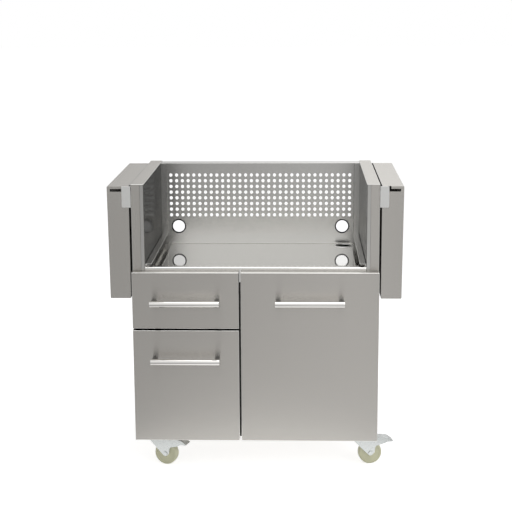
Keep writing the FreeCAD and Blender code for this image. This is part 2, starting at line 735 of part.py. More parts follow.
def hinge_leaf(z):
    """Door half of the hinge: two ears and their pin, on a plate inside the door's edge."""
    near = HINGE_PLATE_T / 2 + RUN_GAP
    far = near + HINGE_EAR_T
    front = FACE_Y + SKIN
    back = HINGE_Y + HINGE_EYE_R + 0.5
    left = HINGE_X - HINGE_EYE_R - 0.5
    ears = [box(left, WALL_X, front, back, z + near, z + far),
            box(left, WALL_X, front, back, z - far, z - near)]
    web = box(WALL_X - HINGE_LEAF_T, WALL_X, front, back, z - HINGE_LEAF_H / 2, z + HINGE_LEAF_H / 2)
    pin = flat_rod(HINGE_PIN_R, Vector(HINGE_X, HINGE_Y, z - far), Vector(HINGE_X, HINGE_Y, z + far))
    return joined(ears + [web, pin])


def door_catch():
    """Magnet block beside the divider's flange, which draws the door's back sheet in."""
    x0 = DIVIDER_X + DIVIDER_FLANGE
    x1 = x0 + CATCH_W
    front = FACE_BACK_Y + RUN_GAP
    behind = FRONT_Y + SKIN
    points = [(x0 - CATCH_TAB_W, behind), (x0, behind), (x0, front), (x1, front),
              (x1, front + CATCH_D), (x0, front + CATCH_D), (x0, behind + CATCH_TAB_T),
              (x0 - CATCH_TAB_W, behind + CATCH_TAB_T)]
    top = APRON_Z - CATCH_BELOW_APRON
    return prism(points, "xy", top - CATCH_H, top)


def make_door():
    """Every node of the door."""
    edges = (DOOR_LEFT_X, SIDE_X, FRONT_BOTTOM_Z, FRONT_TOP_Z)
    handle_x = (DOOR_LEFT_X + SIDE_X) / 2
    handle_z = FRONT_TOP_Z - HANDLE_DROP
    save("door_skin", [front_skin(*edges)])
    save("door_liner", [door_liner()])
    save("door_handle_bar", [handle_bar(handle_x, handle_z)])
    save("door_handle_posts", handle_posts(handle_x, handle_z))
    save("door_hinge_leaves", [hinge_leaf(z) for z in HINGE_HEIGHTS])


# Side shelves, drawn on the right and mirrored for the left

def shelf_outline(inset):
    """Outline of the hanging shelf seen from the front, drawn in by inset on every side."""
    top = SHELF_TOP_Z - inset
    bottom = SHELF_TOP_Z - SHELF_L + inset
    x0 = SHELF_X + inset
    slope = (SHELF_ROOT_T - SHELF_TIP_T) / SHELF_L
    top_x = SHELF_X + SHELF_ROOT_T - inset * (1 + slope)
    bottom_x = SHELF_X + SHELF_TIP_T - inset * (1 - slope)
    return [(x0, bottom), (bottom_x, bottom), (top_x, top), (x0, top)]


def slot_outline():
    """Outline of the slot in each end of the shelf, from the stud towards the outer face."""
    half = STUD_R + STUD_GAP
    x1 = SHELF_X + SHELF_ROOT_T - SLOT_TO_FACE
    return [(STUD_X - half, STUD_Z - half), (x1, STUD_Z - half), (x1, STUD_Z + half),
            (STUD_X - half, STUD_Z + half)], [half - 0.01, 0.0, 0.0, half - 0.01]


def shelf_pan(entry_notch):
    """Folded shelf, open underneath, with returns round its rim and a slot in each end."""
    outer = prism(shelf_outline(0), "xz", FRONT_Y, SHELF_END_Y, SHELF_CORNER_R, flats=2)
    cavity = prism(shelf_outline(SKIN), "xz", FRONT_Y + SKIN, SHELF_END_Y - SKIN, SHELF_CORNER_R - SKIN)
    mouth = box(SHELF_X - SKIN, SHELF_X + 2 * SKIN, FRONT_Y + SHELF_RETURN, SHELF_END_Y - SHELF_RETURN,
                SHELF_TOP_Z - SHELF_L + SHELF_RETURN, SHELF_TOP_Z - SHELF_RETURN)
    points, radii = slot_outline()
    slot = prism(points, "xz", FRONT_Y - SKIN, SHELF_END_Y + SKIN, radii, flats=2)
    pan = outer.cut([cavity, mouth, slot])
    if entry_notch:
        x1 = SIDE_X + TAB_W + NOTCH_W * 2 / 3
        pan = pan.cut(box(x1 - NOTCH_W, x1, FRONT_Y - SKIN, FRONT_Y + NOTCH_D, STUD_Z, SHELF_TOP_Z + SKIN))
    return pan


def shelf_stiffener(share):
    """Hat channel across the inside of the shelf, at a share of its length."""
    z = SHELF_TOP_Z - SHELF_L * share
    slope = (SHELF_ROOT_T - SHELF_TIP_T) / SHELF_L

    def skin_x(height):
        return SHELF_X + SHELF_ROOT_T - SKIN * math.sqrt(1 + slope ** 2) - slope * (SHELF_TOP_Z - height)

    half = STIFFENER_W / 2
    inner = half - STIFFENER_FOOT
    path = [(skin_x(z - half), z - half), (skin_x(z - inner), z - inner),
            (skin_x(z - inner) - STIFFENER_H, z - inner), (skin_x(z + inner) - STIFFENER_H, z + inner),
            (skin_x(z + inner), z + inner), (skin_x(z + half), z + half)]
    return folded_sheet(path, "xz", FRONT_Y + SKIN, SHELF_END_Y - SKIN)


def shelf_bracket():
    """Channel on the column with a tab in front of each end of the shelf."""
    tab_x = SIDE_X + TAB_W
    y0 = FRONT_Y - TAB_GAP - BRACKET_T
    y1 = SHELF_END_Y + TAB_GAP + BRACKET_T
    low = SHELF_TOP_Z - BRACKET_H
    path = [(tab_x, y0), (SIDE_X, y0), (SIDE_X, y1), (tab_x, y1)]
    bracket = folded_sheet(path, "xy", low, SHELF_TOP_Z, thick=BRACKET_T, side=-1, flats=0)
    tab = [(SIDE_X, low), (tab_x, low), (tab_x, SHELF_TOP_Z), (SIDE_X, SHELF_TOP_Z)]
    bracket = bracket.common(prism(tab, "xz", y0, y1, [0.0, TAB_CORNER_R, 0.0, 0.0], flats=3))
    dip = box(SIDE_X, SIDE_X + BRACKET_T, y0 + BRACKET_T, y1 - BRACKET_T,
              SHELF_TOP_Z - BRACKET_WEB_DROP, SHELF_TOP_Z)
    return bracket.cut(dip)


def shelf_studs():
    """Two headed studs that stand inwards from the bracket's tabs."""
    neck = TAB_GAP + SKIN + STUD_GAP
    studs = []
    for start, way in ((FRONT_Y - TAB_GAP, 1), (SHELF_END_Y + TAB_GAP, -1)):
        base = Vector(STUD_X, start, STUD_Z)
        step = Vector(STUD_X, start + way * neck, STUD_Z)
        shank = flat_rod(STUD_R, base, step)
        head = flat_rod(STUD_HEAD_R, step, step + Vector(0, way * STUD_HEAD_T, 0))
        studs.append(joined([shank, head]))
    return studs


def make_shelves():
    """Shelf pans, stiffeners, brackets and studs of both sides."""
    stiffeners = [shelf_stiffener(share) for share in STIFFENER_SPOTS]
    save("right_shelf_pan", [shelf_pan(True)])
    save("left_shelf_pan", [mirrored(shelf_pan(False))])
    save("right_shelf_stiffeners", stiffeners)
    save("left_shelf_stiffeners", [mirrored(s) for s in stiffeners])
    save("right_shelf_bracket", [shelf_bracket()])
    save("left_shelf_bracket", [mirrored(shelf_bracket())])
    studs = shelf_studs()
    save("shelf_pivot_studs", studs + [mirrored(s) for s in studs])


# Casters, drawn with the swivel axis on Z and the wheel trailing to the right

def caster_plate():
    """Fixed plate with its ball cup and the kingpin that the fork turns on."""
    half = CASTER_PLATE / 2
    corners = [(-half, -half), (half, -half), (half, half), (-half, half)]
    plate = prism(corners, "xy", PLATE_BOTTOM_Z, BASE_Z, PLATE_CORNER_R)
    head_top = CROWN_BOTTOM_Z - RUN_GAP
    profile = [(0, PLATE_BOTTOM_Z), (CUP_R, PLATE_BOTTOM_Z), (CUP_FOOT_R, CUP_BOTTOM_Z),
               (KINGPIN_R, CUP_BOTTOM_Z), (KINGPIN_R, head_top), (KINGPIN_HEAD_R, head_top),
               (KINGPIN_HEAD_R - 1, head_top - KINGPIN_HEAD_T), (0, head_top - KINGPIN_HEAD_T)]
    return joined([plate, turned(profile, "z", Vector(0, 0, 0), BAR_SIDES)])


def fork_leg(y0, y1):
    """V-shaped side of the fork, round at the axle and at the pedal's pivot."""
    nose_z = WHEEL_R - LEG_NOSE_R * math.sqrt(2)
    points = [(LEG_BACK_X, CROWN_TOP_Z), (LEG_BACK_X, nose_z + CASTER_TRAIL - LEG_BACK_X),
              (CASTER_TRAIL, nose_z), (LEG_FRONT_X, nose_z + LEG_FRONT_X - CASTER_TRAIL),
              (LEG_FRONT_X, CROWN_TOP_Z)]
    return prism(points, "xz", y0, y1, [0.0, 0.0, LEG_NOSE_R, LEG_TIP_R, LEG_PIVOT_R], flats=2)


def caster_fork(has_pedal):
    """Fork: ball race and crown on top, two legs, and holes for kingpin, axle and pedal."""
    parts = [fork_leg(-LEG_OUT_Y, -LEG_IN_Y), fork_leg(LEG_IN_Y, LEG_OUT_Y)]
    crown = [(LEG_BACK_X, -LEG_OUT_Y), (CROWN_R, -LEG_OUT_Y), (CROWN_R, LEG_OUT_Y), (LEG_BACK_X, LEG_OUT_Y)]
    parts.append(prism(crown, "xy", CROWN_BOTTOM_Z, CROWN_TOP_Z))
    parts.append(flat_rod(RACE_R, Vector(0, 0, CROWN_TOP_Z), Vector(0, 0, RACE_TOP_Z)))
    fork = joined(parts)
    low = Vector(0, 0, CROWN_BOTTOM_Z - 1)
    kingpin_hole = clear_hole(KINGPIN_R + RUN_GAP, low, Vector(0, 0, RACE_TOP_Z + 1))
    side = LEG_OUT_Y + 1
    axle_hole = flat_rod(AXLE_R, Vector(CASTER_TRAIL, -side, WHEEL_R), Vector(CASTER_TRAIL, side, WHEEL_R))
    fork = fork.cut([kingpin_hole, axle_hole])
    if has_pedal:
        start = Vector(PEDAL_X, -side, PEDAL_Z)
        end = Vector(PEDAL_X, side, PEDAL_Z)
        fork = fork.cut(clear_hole(PEDAL_PIN_R + STUD_GAP, start, end, PIN_SIDES))
    return fork


def caster_wheel():
    """Nylon wheel, a little thicker at the hub than at the edges of its tread."""
    half = WHEEL_W / 2
    bore = AXLE_R + STUD_GAP
    right = [(WHEEL_R, half - WHEEL_EDGE), (WHEEL_R - WHEEL_EDGE, half), (bore, HUB_W / 2)]
    left = [(r, -h) for r, h in right[::-1]]
    return turned(left + right, "y", Vector(CASTER_TRAIL, 0, WHEEL_R), WHEEL_SIDES)


def caster_axle():
    """Axle bolt with its head at the front and a nut at the back."""
    start = Vector(CASTER_TRAIL, -LEG_OUT_Y, WHEEL_R)
    end = Vector(CASTER_TRAIL, LEG_OUT_Y, WHEEL_R)
    along = Vector(0, 1, 0)
    shank = flat_rod(AXLE_R, start, end)
    head = hexagon(BOLT_HEAD_AF, start - along * AXLE_END, along, AXLE_END)
    nut = hexagon(BOLT_HEAD_AF, end, along, AXLE_END)
    return joined([shank, head, nut])


def brake_pedal():
    """Curved foot pedal on its pin, with the shoe that swings to the tread between the legs."""
    outer_y = LEG_OUT_Y + RUN_GAP + PEDAL_T
    inner_y = LEG_OUT_Y + RUN_GAP
    x, z = PEDAL_X, PEDAL_Z
    heel, reach, rise, belly = PEDAL_HEEL, PEDAL_REACH, PEDAL_RISE, PEDAL_BELLY
    top = [(x - heel, z + 0.9 * rise), (x + heel / 8, z + rise), (x + 0.57 * reach, z + 0.8 * rise),
           (x + reach, z + PEDAL_NOSE / 4)]
    hull = top + [(x + reach - PEDAL_NOSE, z - PEDAL_NOSE / 2), (x + heel, z - PEDAL_NOSE / 2),
                  (x + belly, z - belly), (x - belly, z - belly), (x - heel, z + rise / 3)]
    crown = PEDAL_CROWN_R
    shell = prism(hull, "xz", -outer_y, outer_y,
                  [0.0, crown, crown, 0.0, 0.0, PEDAL_NOSE, PEDAL_NOSE, PEDAL_NOSE, 0.0], flats=2)
    inner = [(u - PEDAL_SKIN / 6, v - PEDAL_SKIN) for u, v in top]
    low = z - 2 * belly
    cavity = [(x - 2 * heel, inner[0][1]), inner[1], inner[2], inner[3],
              (x + reach - PEDAL_NOSE, low), (x - 2 * heel, low)]
    rounded_top = [0.0, crown - PEDAL_SKIN, crown - PEDAL_SKIN, 0.0, 0.0, 0.0]
    shell = shell.cut(prism(cavity, "xz", -inner_y, inner_y, rounded_top, flats=2))
    pin = flat_rod(PEDAL_PIN_R, Vector(x, -outer_y, z), Vector(x, outer_y, z), PIN_SIDES)
    shoe = [(x - SHOE_T, z + SHOE_T), (x - 1.6 * SHOE_T, z - SHOE_T / 2), (x - 1.6 * SHOE_T, z - SHOE_DROP),
            (x - SHOE_T, z - SHOE_DROP), (x + SHOE_T, z - SHOE_T), (x + SHOE_T, z + SHOE_T)]
    block = prism(shoe, "xz", -SHOE_W / 2, SHOE_W / 2)
    return joined([shell, pin, block])


def placed_caster(shape, x, y, angle):
    """Piece of a caster, swivelled as parked and moved to its corner."""
    turn = FreeCAD.Rotation(Vector(0, 0, 1), angle)
    copy = shape.copy()
    copy.Placement = FreeCAD.Placement(Vector(x, y, 0), turn).multiply(copy.Placement)
    return copy


def make_casters():
    """Every node of the four casters."""
    plates = []
    for name, side, y, angle, has_pedal in CASTERS:
        x = side * CASTER_X
        plates.append(placed_caster(caster_plate(), x, y, 0))
        save(name + "_caster_fork", [placed_caster(caster_fork(has_pedal), x, y, angle)])
        save(name + "_caster_wheel", [placed_caster(caster_wheel(), x, y, angle)])
        save(name + "_caster_axle", [placed_caster(caster_axle(), x, y, angle)])
        if has_pedal:
            save(name + "_brake_pedal", [placed_caster(brake_pedal(), x, y, angle)])
    save("caster_plates", plates)


def make_cabinet():
    """Every fixed sheet of the cabinet and the bay, with its trim."""
    save("left_side_panel", [side_panel()])
    save("right_side_panel", [mirrored(side_panel())])
    save("left_bay_liner", [bay_liner()])
    save("right_bay_liner", [mirrored(bay_liner())])
    save("bottom_pan", [bottom_pan()])
    save("lower_back_panel", [lower_back_panel()])
    save("centre_divider", [centre_divider()])
    save("bay_floor", [bay_floor()])
    save("perforated_back_panel", [perforated_back_panel()])
    save("back_top_cap", [back_top_cap()])
    save("hole_grommets", [grommet(-PORT_X), grommet(PORT_X)])
    save("hose_bushing", [hose_bushing()])
    save("grill_support_rails", [grill_support_rail(), mirrored(grill_support_rail())])


def make_slide_mounts():
    """Fixed parts of both pairs of drawer slides."""
    heights = (UPPER_BOX_Z + SLIDE_ABOVE_BOX, LOWER_BOX_Z + SLIDE_ABOVE_BOX)
    save("slide_mount_rails", [slide_mount_rail(z) for z in heights])
    save("slide_outer_members", [member for z in heights for member in slide_outers(z)])


def main():
    os.makedirs("parts", exist_ok=True)
    make_cabinet()
    make_slide_mounts()
    make_drawer("upper_drawer", UPPER_FRONT_Z, FRONT_TOP_Z, UPPER_BOX_Z, UPPER_BOX_H)
    make_drawer("lower_drawer", FRONT_BOTTOM_Z, LOWER_FRONT_TOP_Z, LOWER_BOX_Z, LOWER_BOX_H)
    save("door_hinge_brackets", [hinge_bracket(z) for z in HINGE_HEIGHTS])
    save("door_catch", [door_catch()])
    make_door()
    make_shelves()
    make_casters()


main()
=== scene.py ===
"""Looks of a stainless grill cart with storage: its finishes, finer pieces, camera and light.

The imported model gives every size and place. X runs to the right, Y to the rear and Z up,
in metres. Sheets keep their solids and get a finish and worn edges. The bay's back and
floor, the drawer boxes, the handles, the wheels and the forks are made again here with more
detail, and so are small fasteners that the solids leave out.
"""

import json
import math

import bmesh
import bpy
from mathutils import Matrix, Vector


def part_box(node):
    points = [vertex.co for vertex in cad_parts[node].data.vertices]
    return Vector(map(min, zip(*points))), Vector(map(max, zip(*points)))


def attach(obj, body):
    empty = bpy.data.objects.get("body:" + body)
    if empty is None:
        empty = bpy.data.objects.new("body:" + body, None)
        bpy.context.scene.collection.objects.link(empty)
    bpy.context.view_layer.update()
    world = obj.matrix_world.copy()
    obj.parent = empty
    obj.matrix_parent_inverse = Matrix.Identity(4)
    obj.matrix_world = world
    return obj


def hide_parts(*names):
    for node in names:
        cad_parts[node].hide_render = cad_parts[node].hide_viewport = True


bl_info = {
    "name": "Grill cart with storage",
    "version": (1, 0, 0),
    "blender": (4, 5, 0),
    "location": "3D View > Sidebar > Grill cart",
    "description": "Builds the visible pieces, finishes, camera and light of a stainless grill cart",
    "category": "Object",
}

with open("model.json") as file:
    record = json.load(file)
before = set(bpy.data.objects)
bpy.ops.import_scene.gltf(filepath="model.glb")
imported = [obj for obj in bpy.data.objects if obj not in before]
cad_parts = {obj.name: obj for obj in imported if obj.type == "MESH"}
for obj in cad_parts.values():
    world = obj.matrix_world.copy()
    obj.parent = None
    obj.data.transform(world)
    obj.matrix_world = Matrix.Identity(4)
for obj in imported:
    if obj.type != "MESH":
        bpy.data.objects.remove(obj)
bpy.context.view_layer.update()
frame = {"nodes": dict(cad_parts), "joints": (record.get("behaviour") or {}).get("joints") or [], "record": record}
NODES = frame["nodes"]
JOINTS = {joint["name"]: joint for joint in frame["joints"]}
CASTERS = ("front_left", "front_right", "rear_left", "rear_right")
FRONTS = ("upper_drawer", "lower_drawer", "door")

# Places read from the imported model
PANEL_LOW, PANEL_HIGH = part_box("perforated_back_panel")
BACK_FACE_Y = PANEL_LOW.y
BAY_HALF = PANEL_HIGH.x
FLOOR_Z = PANEL_LOW.z
BACK_TOP_Z = PANEL_HIGH.z
SIDE_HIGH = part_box("right_side_panel")[1]
RINGS_LOW, RINGS_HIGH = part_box("hole_grommets")
PORT_Z = (RINGS_LOW.z + RINGS_HIGH.z) / 2
PLATES_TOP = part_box("caster_plates")[1].z

# Places for flat drawings: level, or stood up with X and Y as the cart's Y and Z, or its X and Z
LEVEL = Matrix.Identity(4)
SIDE_VIEW = Matrix(((0, 0, 1, 0), (1, 0, 0, 0), (0, 1, 0, 0), (0, 0, 0, 1)))
FRONT_VIEW = Matrix(((1, 0, 0, 0), (0, 0, 1, 0), (0, 1, 0, 0), (0, 0, 0, 1)))

# Points nearer than this are one point, and faces turned less than this are one face
DOUBLES = 1e-6
SAME_FACE = math.radians(0.5)

# The hose sleeve's rim reaches this far past its neck, which leaves a little play in the floor
SLEEVE_LIP = 0.0025
SLEEVE_PLAY = 0.0001

BLACK = (0.0, 0.0, 0.0, 1.0)


def length(name, description, default):
    """A size in metres that the sidebar shows with its unit."""
    return bpy.props.FloatProperty(
        name=name, description=description, default=default, min=0.0, precision=4,
        unit="LENGTH", subtype="DISTANCE")


def paint(name, description, hex_code):
    """A colour that the sidebar shows, written as an sRGB hex code."""
    return bpy.props.FloatVectorProperty(
        name=name, description=description, default=linear(hex_code), size=4,
        min=0.0, max=1.0, subtype="COLOR")


def linear(hex_code):
    """Linear colour, with full alpha, of an sRGB hex code."""
    values = []
    for start in (1, 3, 5):
        share = int(hex_code[start:start + 2], 16) / 255
        values.append(share / 12.92 if share <= 0.04045 else ((share + 0.055) / 1.055) ** 2.4)
    return (*values, 1.0)


# Sizes and colours that a user would change

class BackPanelSettings(bpy.types.PropertyGroup):
    """Sizes of the bay's perforated back."""
    sheet: length("Sheet", "Thickness of the sheet", 0.0012)
    hole: length("Hole", "Diameter of a small punched hole", 0.011)
    pitch: length("Pitch", "Distance between the centres of the small holes", 0.020)
    top_row: length("Top row", "Height of the top row of holes above the floor", 0.870)
    foot: length("Foot", "Depth of the folded foot and of the end flanges", 0.020)
    bend: length("Bend", "Inner radius of the folds", 0.001)
    flange_gap: length("Flange gap", "From the top of an end flange to the panel's top", 0.012)
    columns: bpy.props.IntProperty(
        name="Columns", description="Holes in one row", default=32, min=1)
    rows: bpy.props.IntProperty(
        name="Rows", description="Rows of holes", default=8, min=1)
    port_seat: length("Port seat", "Diameter of the hole that holds a rubber ring", 0.046)


class FloorSettings(bpy.types.PropertyGroup):
    """Sizes of the bay's floor."""
    lip: length("Lip", "Depth of the lip from front to back", 0.030)
    bend: length("Bend", "Inner radius of the lip's folds", 0.003)


class RingSettings(bpy.types.PropertyGroup):
    """Sizes of the rubber rings and of the hose sleeve."""
    port_bore: length("Port bore", "Clear diameter of a rubber ring", 0.042)
    port_rim: length("Port rim", "Outer diameter of a rubber ring", 0.050)
    port_lip: length("Port lip", "Thickness of a ring's lip", 0.0025)
    hose_bore: length("Hose bore", "Clear diameter of the sleeve in the floor", 0.052)
    hose_rim: length("Hose rim", "Outer diameter of the sleeve's rim", 0.062)


class HandleSettings(bpy.types.PropertyGroup):
    """Sizes of the handles."""
    bar: length("Bar", "Diameter of the handle bar", 0.019)
    post: length("Post", "Diameter of a post", 0.016)
    post_inset: length("Post inset", "From the end of the bar to the middle of a post", 0.0095)
    edge: length("Edge", "Rounding of the bar's ends", 0.0011)


class CasterSettings(bpy.types.PropertyGroup):
    """Sizes of the casters."""
    wheel: length("Wheel", "Diameter of the wheel", 0.075)
    tread: length("Tread", "Width of the wheel", 0.025)
    hub: length("Hub", "Width of the hub", 0.026)
    axle: length("Axle", "Diameter of the axle bolt", 0.008)
    head: length("Head", "Width across the flats of a bolt head", 0.013)
    race: length("Race", "Height of the ball race on the fork", 0.0067)
    crown: length("Crown", "Thickness of the fork's crown", 0.003)
    leg: length("Leg", "Thickness of a leg", 0.0025)
    nose: length("Nose", "Rounding of a leg at the axle", 0.009)
    kingpin: length("Kingpin hole", "Diameter of the hole for the kingpin", 0.0106)
    pedal_hole: length("Pedal hole", "Diameter of the hole for the pedal's pin", 0.0055)


class FastenerSettings(bpy.types.PropertyGroup):
    """Sizes of screws and bolts."""
    bolt_spacing: length("Bolt spacing", "Distance between the bolts of a caster plate", 0.048)
    plate: length("Plate", "Thickness of a caster plate", 0.0025)
    screw_head: length("Screw head", "Diameter of a pan-head screw", 0.008)
    side_inset: length("Side inset", "From the cart's side to the middle of a screw", 0.014)
    end_inset: length("End inset", "From the end of the back panel to the first screw", 0.040)
    screw_count: bpy.props.IntProperty(
        name="Screws", description="Screws down each rear edge", default=5, min=2)


class FinishSettings(bpy.types.PropertyGroup):
    """Colours of the finishes."""
    satin: paint("Satin steel", "Stainless sheet with a brushed face", "#BCB9B4")
    bright: paint("Bright steel", "Stainless sheet as it leaves the bright rolls", "#CBCAC7")
    mirror: paint("Mirror steel", "Stainless sheet buffed like a mirror", "#EEEDEA")
    # Dark grey that paints shade on the upright walls of the bay's liners
    wall_shade: paint("Mill steel", "Stainless sheet with the dull finish of the mill", "#777672")
    blasted: paint("Blasted steel", "Stainless sheet blasted with glass beads", "#DEDEDC")
    # Dark grey: painted shade on the handle posts and in their reflections
    turned: paint("Turned steel", "Stainless bar as it leaves the lathe", "#3E3D3B")
    polished: paint("Polished steel", "Buffed stainless bar", "#DDDBD8")
    zinc: paint("Zinc plating", "Steel with a bright zinc coat", "#C8CBCA")
    nylon: paint("Nylon", "Natural moulded nylon", "#E6E5C6")
    rubber: paint("Rubber", "Moulded black rubber", "#0B0B0C")
    plastic: paint("Plastic", "Moulded black plastic", "#222223")


class StageSettings(bpy.types.PropertyGroup):
    """Camera and light."""
    lens: bpy.props.FloatProperty(
        name="Lens", description="Focal length on a 36 mm sensor", default=89.76, min=1.0, unit="CAMERA")
    ambient: bpy.props.FloatProperty(
        name="Ambient", description="Strength of the soft light all round", default=0.42, min=0.0)
    overhead: bpy.props.FloatProperty(
        name="Overhead", description="Power of the soft light above", default=34.0, min=0.0, unit="POWER")
    side: bpy.props.FloatProperty(
        name="Side", description="Power of the light from the right", default=20.0, min=0.0, unit="POWER")


# Node trees

def add(tree, kind, sockets=None, **settings):
    """Add a node, set its properties, and set its input sockets or link them to outputs."""
    node = tree.nodes.new(kind)
    for name, value in settings.items():
        setattr(node, name, value)
    for name, value in (sockets or {}).items():
        if isinstance(value, bpy.types.NodeSocket):
            tree.links.new(value, node.inputs[name])
        else:
            node.inputs[name].default_value = value
    return node


def reckon(tree, how, first, second=0.0):
    """Result of a sum on one or two values."""
    return add(tree, "ShaderNodeMath", {0: first, 1: second}, operation=how).outputs[0]


def spread(tree, value, low, high, start=0.0, end=1.0):
    """Value that runs from low to high while the given one runs from start to end."""
    return add(tree, "ShaderNodeMapRange", {
        "Value": value, "From Min": start, "From Max": end, "To Min": low, "To Max": high}).outputs[0]


def blend(tree, share, first, second):
    """Colour between two colours."""
    return add(tree, "ShaderNodeMix", {"Factor": share, 6: first, 7: second}, data_type="RGBA").outputs[2]


def noise(tree, scale, detail, place=None):
    """Cloudy value on the piece's own coordinates, or on stretched ones."""
    if place is None:
        place = add(tree, "ShaderNodeTexCoord").outputs["Object"]
    return add(tree, "ShaderNodeTexNoise", {
        "Vector": place, "Scale": scale, "Detail": detail}).outputs["Fac"]


def combined(tree, x=0.0, y=0.0, z=0.0):
    """Vector of three values."""
    return add(tree, "ShaderNodeCombineXYZ", {"X": x, "Y": y, "Z": z}).outputs[0]


# Finishes

def new_material(name):
    """Material with an empty node tree."""
    material = bpy.data.materials.new(name)
    material.use_nodes = True
    material.node_tree.nodes.clear()
    return material


def coat(material, sockets):
    """Give a material its one surface."""
    surface = add(material.node_tree, "ShaderNodeBsdfPrincipled", sockets)
    add(material.node_tree, "ShaderNodeOutputMaterial", {"Surface": surface.outputs[0]})
    return material


def shade(colour, factor):
    """The same colour, lighter or darker."""
    return (*[min(1.0, part * factor) for part in colour[:3]], 1.0)


def grain_position(tree, across, along):
    """Own coordinates stretched so that noise lies in lines: level on upright faces, along Y on flat ones."""
    own = add(tree, "ShaderNodeTexCoord").outputs
    upright, level = [
        add(tree, "ShaderNodeVectorMath", {0: own["Object"], 1: stretch}, operation="MULTIPLY").outputs[0]
        for stretch in ((along, along, across), (across, along, along))]
    facing = add(tree, "ShaderNodeSeparateXYZ", {0: own["Normal"]})
    flat = reckon(tree, "GREATER_THAN", reckon(tree, "ABSOLUTE", facing.outputs["Z"]), 0.7)
    return add(tree, "ShaderNodeMix", {"Factor": flat, 4: upright, 5: level}, data_type="VECTOR").outputs[1]


def painted_gap_shade(tree):
    """Painted shade for narrow gaps: a share that turns the colour almost black at the bottom of a narrow gap and
    leaves it whole elsewhere.
    """
    nook = add(tree, "ShaderNodeAmbientOcclusion", {"Distance": 0.03}, samples=6)
    return spread(tree, nook.outputs["AO"], 0.01, 1.0, 0.2, 0.5)


def steel(name, colour, roughness, blur, line, contrast, edge=1.0, gaps=False):
    """Stainless steel with brushing lines, which draw reflections out by their blur.

    The line is the width of one streak, the contrast that of the streaks, and the edge how light the steel turns
    where it is seen almost flat. With gaps, shade is painted into narrow gaps: the colour and the gloss turn
    almost black there.
    """
    material = new_material(name)
    tree = material.node_tree
    lines = noise(tree, 1.0, 3.0, grain_position(tree, 1 / line, 4.0))
    cloud = noise(tree, 5.0, 2.0)
    streaks = add(tree, "ShaderNodeMix", {"Factor": 0.35, 2: lines, 3: cloud}, data_type="FLOAT").outputs[0]
    tint = blend(tree, streaks, shade(colour, 1 - contrast), shade(colour, 1 + contrast))
    # Painted shade: in narrow gaps the colour and the gloss are mixed towards black
    gap_shade_share = painted_gap_shade(tree) if gaps else 1.0
    upward = add(tree, "ShaderNodeVectorTransform", {0: (0.0, 0.02, 1.0)},
                 vector_type="VECTOR", convert_from="OBJECT", convert_to="WORLD")
    return coat(material, {
        "Base Color": blend(tree, gap_shade_share, BLACK, tint),
        "Specular Tint": blend(tree, gap_shade_share, BLACK, (edge, edge, edge, 1.0)),
        "Roughness": spread(tree, streaks, roughness * 0.99, roughness * 1.01, 0.3, 0.7),
        "Metallic": 1.0, "Anisotropic": blur, "Tangent": upward.outputs[0]})


def satin_stainless(settings):
    """Stainless sheet, type 304, brushed with a belt: soft streaks that draw reflections out up and down."""
    return steel("satin_stainless", settings.satin, roughness=0.27, blur=0.92, line=0.0012,
                 contrast=0.005, gaps=True)


def bright_stainless(settings):
    """Stainless sheet straight from bright rolls: a soft mirror with faint rolling lines."""
    return steel("bright_stainless", settings.bright, roughness=0.22, blur=0.3, line=0.002, contrast=0.01)


def mirror_stainless(settings):
    """Stainless sheet buffed on one face: a mirror that shows the ports as sharp discs."""
    return steel("mirror_stainless", settings.mirror, roughness=0.05, blur=0.0, line=0.002, contrast=0.008)


def shaded_wall_steel(settings):
    """Painted shade: a darker steel with long upright streaks and a dim edge, put on the upright walls of the
    bay's liners so that they look shaded.
    """
    return steel("shaded_wall_steel", settings.wall_shade, roughness=0.16, blur=0.8, line=0.003,
                 contrast=0.2, edge=0.22)


def blasted_stainless(settings):
    """Stainless sheet blasted with glass beads: pale and even, without lines."""
    return steel("blasted_stainless", settings.blasted, roughness=0.45, blur=0.0, line=0.0015,
                 contrast=0.02, gaps=True)


def shaded_post_steel(settings):
    """Stainless bar with the fine lines of the lathe's cut, in a dark grey that is painted shade and also darkens
    the posts' reflections in the fronts.
    """
    return steel("shaded_post_steel", settings.turned, roughness=0.25, blur=0.3, line=0.0008, contrast=0.08)


def polished_stainless(settings):
    """Stainless bar buffed after turning: a clear mirror with a few soft smears."""
    return steel("polished_stainless", settings.polished, roughness=0.05, blur=0.0, line=0.004, contrast=0.03)


def zinc_plate(settings):
    """Pressed steel with a bright zinc coat: bluish grey, lightly mottled, softly shiny."""
    material = new_material("zinc_plate")
    tree = material.node_tree
    mottle = noise(tree, 90.0, 4.0)
    return coat(material, {
        "Base Color": blend(tree, mottle, shade(settings.zinc, 0.97), shade(settings.zinc, 1.03)),
        "Roughness": spread(tree, mottle, 0.24, 0.3), "Metallic": 1.0})


def moulded(name, colour, roughness, grain, depth, gloss=0.5):
    """Moulded polymer: even colour, fine grain from the mould and slightly uneven gloss."""
    material = new_material(name)
    tree = material.node_tree
    cloud = noise(tree, 40.0, 3.0)
    bump = add(tree, "ShaderNodeBump", {
        "Strength": 0.4, "Distance": depth, "Height": noise(tree, 1 / grain, 2.0)})
    return coat(material, {
        "Base Color": blend(tree, cloud, shade(colour, 0.92), shade(colour, 1.08)),
        "Roughness": spread(tree, cloud, roughness - 0.06, roughness + 0.06),
        "Specular IOR Level": gloss, "Normal": bump.outputs[0]})


def nylon(settings):
    """Natural moulded nylon: creamy white with a soft sheen."""
    return moulded("nylon", settings.nylon, roughness=0.42, grain=0.0012, depth=0.00008)


def black_rubber(settings):
    """Moulded rubber: dull black that mirrors almost nothing."""
    return moulded("black_rubber", settings.rubber, roughness=0.7, grain=0.0006, depth=0.00006, gloss=0.15)


def black_plastic(settings):
    """Moulded plastic: black with a low, even sheen."""
    return moulded("black_plastic", settings.plastic, roughness=0.5, grain=0.0008, depth=0.00006)


